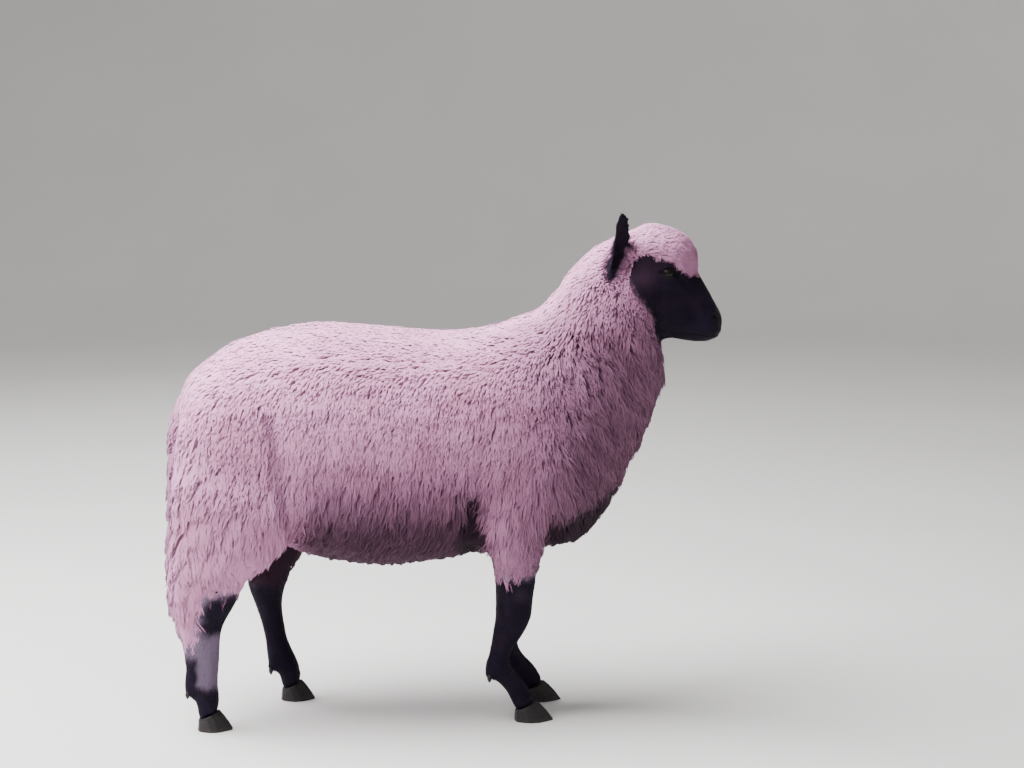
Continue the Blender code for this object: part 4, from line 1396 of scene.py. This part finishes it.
class EWE_OT_skin(bpy.types.Operator):
    """Model the skin under the coat, with the face's forms and lids"""

    bl_idname = "ewe.skin"
    bl_label = "Skin"

    def execute(self, context):
        mesh = first_skin()
        deep = sculpt_head(mesh)
        mesh.shade_smooth()
        coat = Coat(points_of(mesh))
        depth, normals = sink_skin(mesh, coat)
        up, lie, flow = flow_of_coat(mesh, coat, normals)
        bare = bare_hide(coat, deep)
        values = {name: getattr(coat, name) for name in ("wool", "dark", "fade", "soil")}
        values.update(bare=bare, lie=lie, up=up)
        values.update(lock_sizes(coat, depth, flow))
        values.update(hair_sizes(coat, bare))
        for name, value in values.items():
            store(mesh, name, value)
        for name, regions in zip(("fleece_region", "hair_region"), region_of(mesh)):
            store_faces(mesh, name, regions)
        skin = place("skin", mesh)
        unwrap(skin)
        mesh.name = "skin"
        mesh.materials.append(hide_material())
        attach(skin, "root")
        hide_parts(*FLESH)
        return {"FINISHED"}


# The locks of the head against those of the body, and the roots of face and ears against those of
# the legs.
HEAD_LOCKS = 0.72
FACE_HAIR = 0.85
FLEECE_SEED, HAIR_SEED = 11, 41


class EWE_OT_fleece(bpy.types.Operator):
    """Grow the wool in overlapping locks that hang from the body"""

    bl_idname = "ewe.fleece"
    bl_label = "Fleece"

    def execute(self, context):
        given = settings().fleece
        skin = bpy.data.objects["skin"]
        tree = bpy.data.node_groups.get("Coat") or coat_tree()
        wool = wool_material()
        head = len(fleece_names()) - 1
        for number, name in enumerate(fleece_names()):
            small = HEAD_LOCKS if number == head else 1.0
            inputs = {
                "Region": number,
                "Region Name": "fleece_region",
                "Spacing": given.spacing * small,
                "Cover": "wool_cover",
                "Segments": 3,
                "Length": "wool_length",
                "Width": "wool_width",
                "Flatness": "wool_flatness",
                "Rise": "wool_rise",
                "Root Depth": 0.001,
                "Sway": 0.4,
                "Spread": 0.5,
                "Clump Size": given.clump * small,
                "Clump Pull": "clump_pull",
                "Clump Step": 0.004 * small,
                "Staple Size": given.staple * small,
                "Staple Pull": "staple_pull",
                "Staple Step": 0.010 * small,
                "Softness": 0.8,
                "Seed": FLEECE_SEED + number,
                "Material": wool,
            }
            grow(name, skin, tree, inputs, ("form", "tone", "dark", "fade", "soil"))
        return {"FINISHED"}


class EWE_OT_hair(bpy.types.Operator):
    """Grow the short hair of face, ears and legs"""

    bl_idname = "ewe.hair"
    bl_label = "Short hair"

    def execute(self, context):
        given = settings().hair
        skin = bpy.data.objects["skin"]
        tree = bpy.data.node_groups.get("Coat") or coat_tree()
        hair = short_hair_material()
        for number, name in enumerate(HAIR_NAMES):
            inputs = {
                "Region": number,
                "Region Name": "hair_region",
                "Spacing": given.spacing * (FACE_HAIR if number < 2 else 1.0),
                "Cover": "hair_cover",
                "Segments": 2,
                "Length": "hair_length",
                "Width": "hair_width",
                "Flatness": 0.5,
                "Rise": "hair_rise",
                "Root Depth": 0.0002,
                "Sway": 0.3,
                "Spread": 0.45,
                "Clump Size": 0.006,
                "Clump Pull": 0.2,
                "Clump Step": 0.0,
                "Staple Size": 0.012,
                "Staple Pull": 0.0,
                "Staple Step": 0.0,
                "Softness": 0.4,
                "Seed": HAIR_SEED + number,
                "Material": hair,
            }
            grow(name, skin, tree, inputs, ("tone", "dark", "fade", "soil"))
        return {"FINISHED"}


# Faces along and round an eyeball, and how wide the cornea is against the ball.
EYE_RINGS = 30
EYE_SPOKES = 40
CORNEA_REACH = 0.62


class EWE_OT_eyes(bpy.types.Operator):
    """Model the eyeballs with their corneas"""

    bl_idname = "ewe.eyes"
    bl_label = "Eyes"

    def execute(self, context):
        wet = eye_material()
        cornea = settings().eyes.cornea
        for side, node in ((1, "eye_left"), (-1, "eye_right")):
            low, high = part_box(node)
            radius = (high.z - low.z) / 2 - cornea
            shape = bmesh.new()
            bmesh.ops.create_uvsphere(shape, u_segments=EYE_SPOKES, v_segments=EYE_RINGS, radius=1.0)
            gaze = np.array([v.co for v in shape.verts])
            away = np.hypot(gaze[:, 0], gaze[:, 1])
            bulge = np.where(gaze[:, 2] > 0, 1 - between(0.0, CORNEA_REACH, away), 0)
            _, look, along, over = (np.array(from_head(v)) for v in eye_axes(side))
            turn = np.array([along, over, look])
            points = (gaze * (radius + cornea * bulge)[:, None]) @ turn + np.array((low + high) / 2)
            for vertex, point in zip(shape.verts, points):
                vertex.co = point
            mesh = mesh_from(turned_out(shape), node + "_ball")
            # Behind the ball's middle, the gaze is put so far out that no iris shows there.
            store(mesh, "gaze", gaze * np.where(gaze[:, 2:3] < 0, (9, 9, 1), (1, 1, 1)))
            finish_piece(node + "_ball", mesh, wet, (node,))
        return {"FINISHED"}


# Hooves: voxel of their surface, how much growth rings stand out and slope down to the heel, and the
# height under which a sole is flat.
HOOF_VOXEL = 0.0014
RING_HEIGHT = 0.00028
RING_SLOPE = 0.30
SOLE_FLAT = 0.0008
# A dewclaw's half-sizes, and how far its middle lies inside and under the rearmost point of a fetlock.
DEWCLAW = Vector((0.0044, 0.0046, 0.0075))
DEWCLAW_INSET = Vector((0.0092, 0.0, -0.005))


def hoof_shape(claws):
    """Two claws as one shape, with growth rings on their walls."""
    joined = bmesh.new()
    for node in claws:
        joined.from_mesh(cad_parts[node].data)
    bmesh.ops.remove_doubles(joined, verts=joined.verts, dist=1e-5)
    mesh = united(mesh_from(turned_out(joined), "claws"), HOOF_VOXEL)
    points = relax(points_of(mesh), edges_of(mesh), 3)
    set_points(mesh, points)
    normals = normals_of(mesh)
    low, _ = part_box(claws[0])
    slope = points[:, 2] - RING_SLOPE * (points[:, 0] - low.x)
    turns = slope * 2 * math.pi / settings().hooves.ring + 0.7 * uneven(points, 0.02)
    on_wall = between(0.2, 0.6, 1 - np.abs(normals[:, 2]))
    points = points + normals * (RING_HEIGHT * np.sin(turns) * on_wall)[:, None]
    points[:, 2] = np.where(points[:, 2] < SOLE_FLAT, 0.0, points[:, 2])
    set_points(mesh, points)
    shape = bmesh.new()
    shape.from_mesh(mesh)
    return shape


def dewclaw_places(leg):
    """Where the two dewclaws stand behind a fetlock."""
    corners = points_of(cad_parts[leg + "_cannon"].data)
    low = corners[corners[:, 2] < 0.11]
    centre = (low[:, 1].min() + low[:, 1].max()) / 2
    rears = [own[np.argmin(own[:, 0])] for own in (low[low[:, 1] > centre], low[low[:, 1] < centre])]
    return [Vector(rear) + DEWCLAW_INSET for rear in rears]


def add_dewclaw(shape, middle_of):
    """A small blunt cone that points down."""
    for vertex in bmesh.ops.create_icosphere(shape, subdivisions=3, radius=1.0)["verts"]:
        x, y, z = vertex.co
        taper = 1 - 0.35 * max(0.0, -z)
        vertex.co = Vector((x * taper * DEWCLAW.x, y * taper * DEWCLAW.y, z * DEWCLAW.z)) + middle_of


class EWE_OT_hooves(bpy.types.Operator):
    """Model the hooves: two claws with growth rings and two dewclaws to each foot"""

    bl_idname = "ewe.hooves"
    bl_label = "Hooves"

    def execute(self, context):
        horn = horn_material()
        for leg in LEGS:
            claws = [n for n in NODES if n.startswith(leg) and "claw" in n]
            shape = hoof_shape(claws)
            for middle_of in dewclaw_places(leg):
                add_dewclaw(shape, middle_of)
            finish_piece("hoof_" + leg, mesh_from(shape, "hoof"), horn, tuple(claws))
        return {"FINISHED"}


# The cove: rings in its floor, where the floor ends, the radius of the bend, the height of the wall,
# and how far the floor lies below the soles, so that they don't share a plane.
COVE_SPOKES = 96
COVE_RINGS = (1.2, 3.4)
COVE_FLAT = 5.6
COVE_BEND = 2.6
COVE_TOP = 6.5
COVE_DROP = 0.0004
# Lamps: whose power each has, where it is and how wide. All are aimed at the middle of the ewe.
LAMPS = (
    ("softbox_above", "key", (-1.6, -0.1, 3.0), 3.4),
    ("fill_front", "fill", (-1.5, -3.6, 2.8), 1.8),
    ("fill_back", "fill", (-0.6, 3.6, 2.2), 2.4),
)
LAMP_AIM = Vector((0, 0, 0.45))
ROOM_COLOUR = 0xECECEF
ROOM_LIGHT = 0.42
# The camera: its place, and in degrees how far it looks down and how far it turns from straight on.
CAMERA_PLACE = (-0.2583, -4.9049, 1.33)
CAMERA_DOWN = 8.2816
CAMERA_TURN = -4.5


def cove():
    """A round floor that bends up into a wall all the way round, open above and facing inward."""
    turns = np.radians(np.linspace(0, 90, 13))
    bend = [(COVE_FLAT + COVE_BEND * math.sin(t), COVE_BEND * (1 - math.cos(t))) for t in turns]
    flat = [(radius, 0.0) for radius in COVE_RINGS]
    spokes = np.radians(np.linspace(0, 360, COVE_SPOKES, endpoint=False))
    shape = bmesh.new()
    before = [shape.verts.new((0.0, 0.0, 0.0))]
    for radius, height in (*flat, *bend, (COVE_FLAT + COVE_BEND, COVE_TOP)):
        ring = [shape.verts.new((radius * math.cos(t), radius * math.sin(t), height)) for t in spokes]
        for k in range(COVE_SPOKES):
            after = (k + 1) % COVE_SPOKES
            inner = [before[after], before[k]] if len(before) > 1 else before
            shape.faces.new([*inner, ring[k], ring[after]])
        before = ring
    bmesh.ops.translate(shape, verts=shape.verts, vec=(0.0, 0.0, -COVE_DROP))
    return shape


class EWE_OT_stage(bpy.types.Operator):
    """Lay the floor and set the soft lights and the camera"""

    bl_idname = "ewe.stage"
    bl_label = "Stage"

    def execute(self, context):
        given = settings().stage
        mesh = mesh_from(cove(), "floor")
        mesh.materials.append(floor_material())
        place("floor", mesh)
        for name, power, where, width in LAMPS:
            light = bpy.data.lights.new(name, "AREA")
            light.shape = "DISK"
            light.size = width
            light.energy = getattr(given, power)
            lamp = bpy.data.objects.new(name, light)
            lamp.location = where
            lamp.rotation_euler = (LAMP_AIM - Vector(where)).to_track_quat("-Z", "Y").to_euler()
            lamp.visible_camera = False
            context.scene.collection.objects.link(lamp)
        world = bpy.data.worlds.new("pale_room")
        world.use_nodes = True
        air = world.node_tree.nodes["Background"].inputs
        air["Color"].default_value = linear(ROOM_COLOUR)
        air["Strength"].default_value = ROOM_LIGHT
        context.scene.world = world
        camera = bpy.data.objects.new("camera", bpy.data.cameras.new("camera"))
        camera.data.sensor_width = 36.0
        camera.data.lens = given.lens
        camera.location = CAMERA_PLACE
        camera.rotation_euler = (math.radians(90 - CAMERA_DOWN), 0, math.radians(CAMERA_TURN))
        context.scene.collection.objects.link(camera)
        context.scene.camera = camera
        return {"FINISHED"}


class EWE_PT_panel(bpy.types.Panel):
    bl_idname = "EWE_PT_panel"
    bl_label = "Ewe"
    bl_space_type = "VIEW_3D"
    bl_region_type = "UI"
    bl_category = "Ewe"

    def draw(self, context):
        for group, operator in (
            ("fleece", "ewe.skin"),
            ("fleece", "ewe.fleece"),
            ("hair", "ewe.hair"),
            ("eyes", "ewe.eyes"),
            ("hooves", "ewe.hooves"),
            ("stage", "ewe.stage"),
        ):
            box = self.layout.box()
            chosen = getattr(context.scene.ewe, group)
            for name in chosen.__annotations__:
                box.prop(chosen, name)
            box.operator(operator)


CLASSES = (
    EweFleece,
    EweHair,
    EweEyes,
    EweHooves,
    EweStage,
    EweSettings,
    EWE_OT_skin,
    EWE_OT_fleece,
    EWE_OT_hair,
    EWE_OT_eyes,
    EWE_OT_hooves,
    EWE_OT_stage,
    EWE_PT_panel,
)


def register():
    for made in CLASSES:
        bpy.utils.register_class(made)
    bpy.types.Scene.ewe = bpy.props.PointerProperty(type=EweSettings)


def unregister():
    del bpy.types.Scene.ewe
    for made in reversed(CLASSES):
        bpy.utils.unregister_class(made)


def main():
    register()
    bpy.ops.ewe.skin()
    bpy.ops.ewe.fleece()
    bpy.ops.ewe.hair()
    bpy.ops.ewe.eyes()
    bpy.ops.ewe.hooves()
    bpy.ops.ewe.stage()


if __name__ == "__main__":
    main()
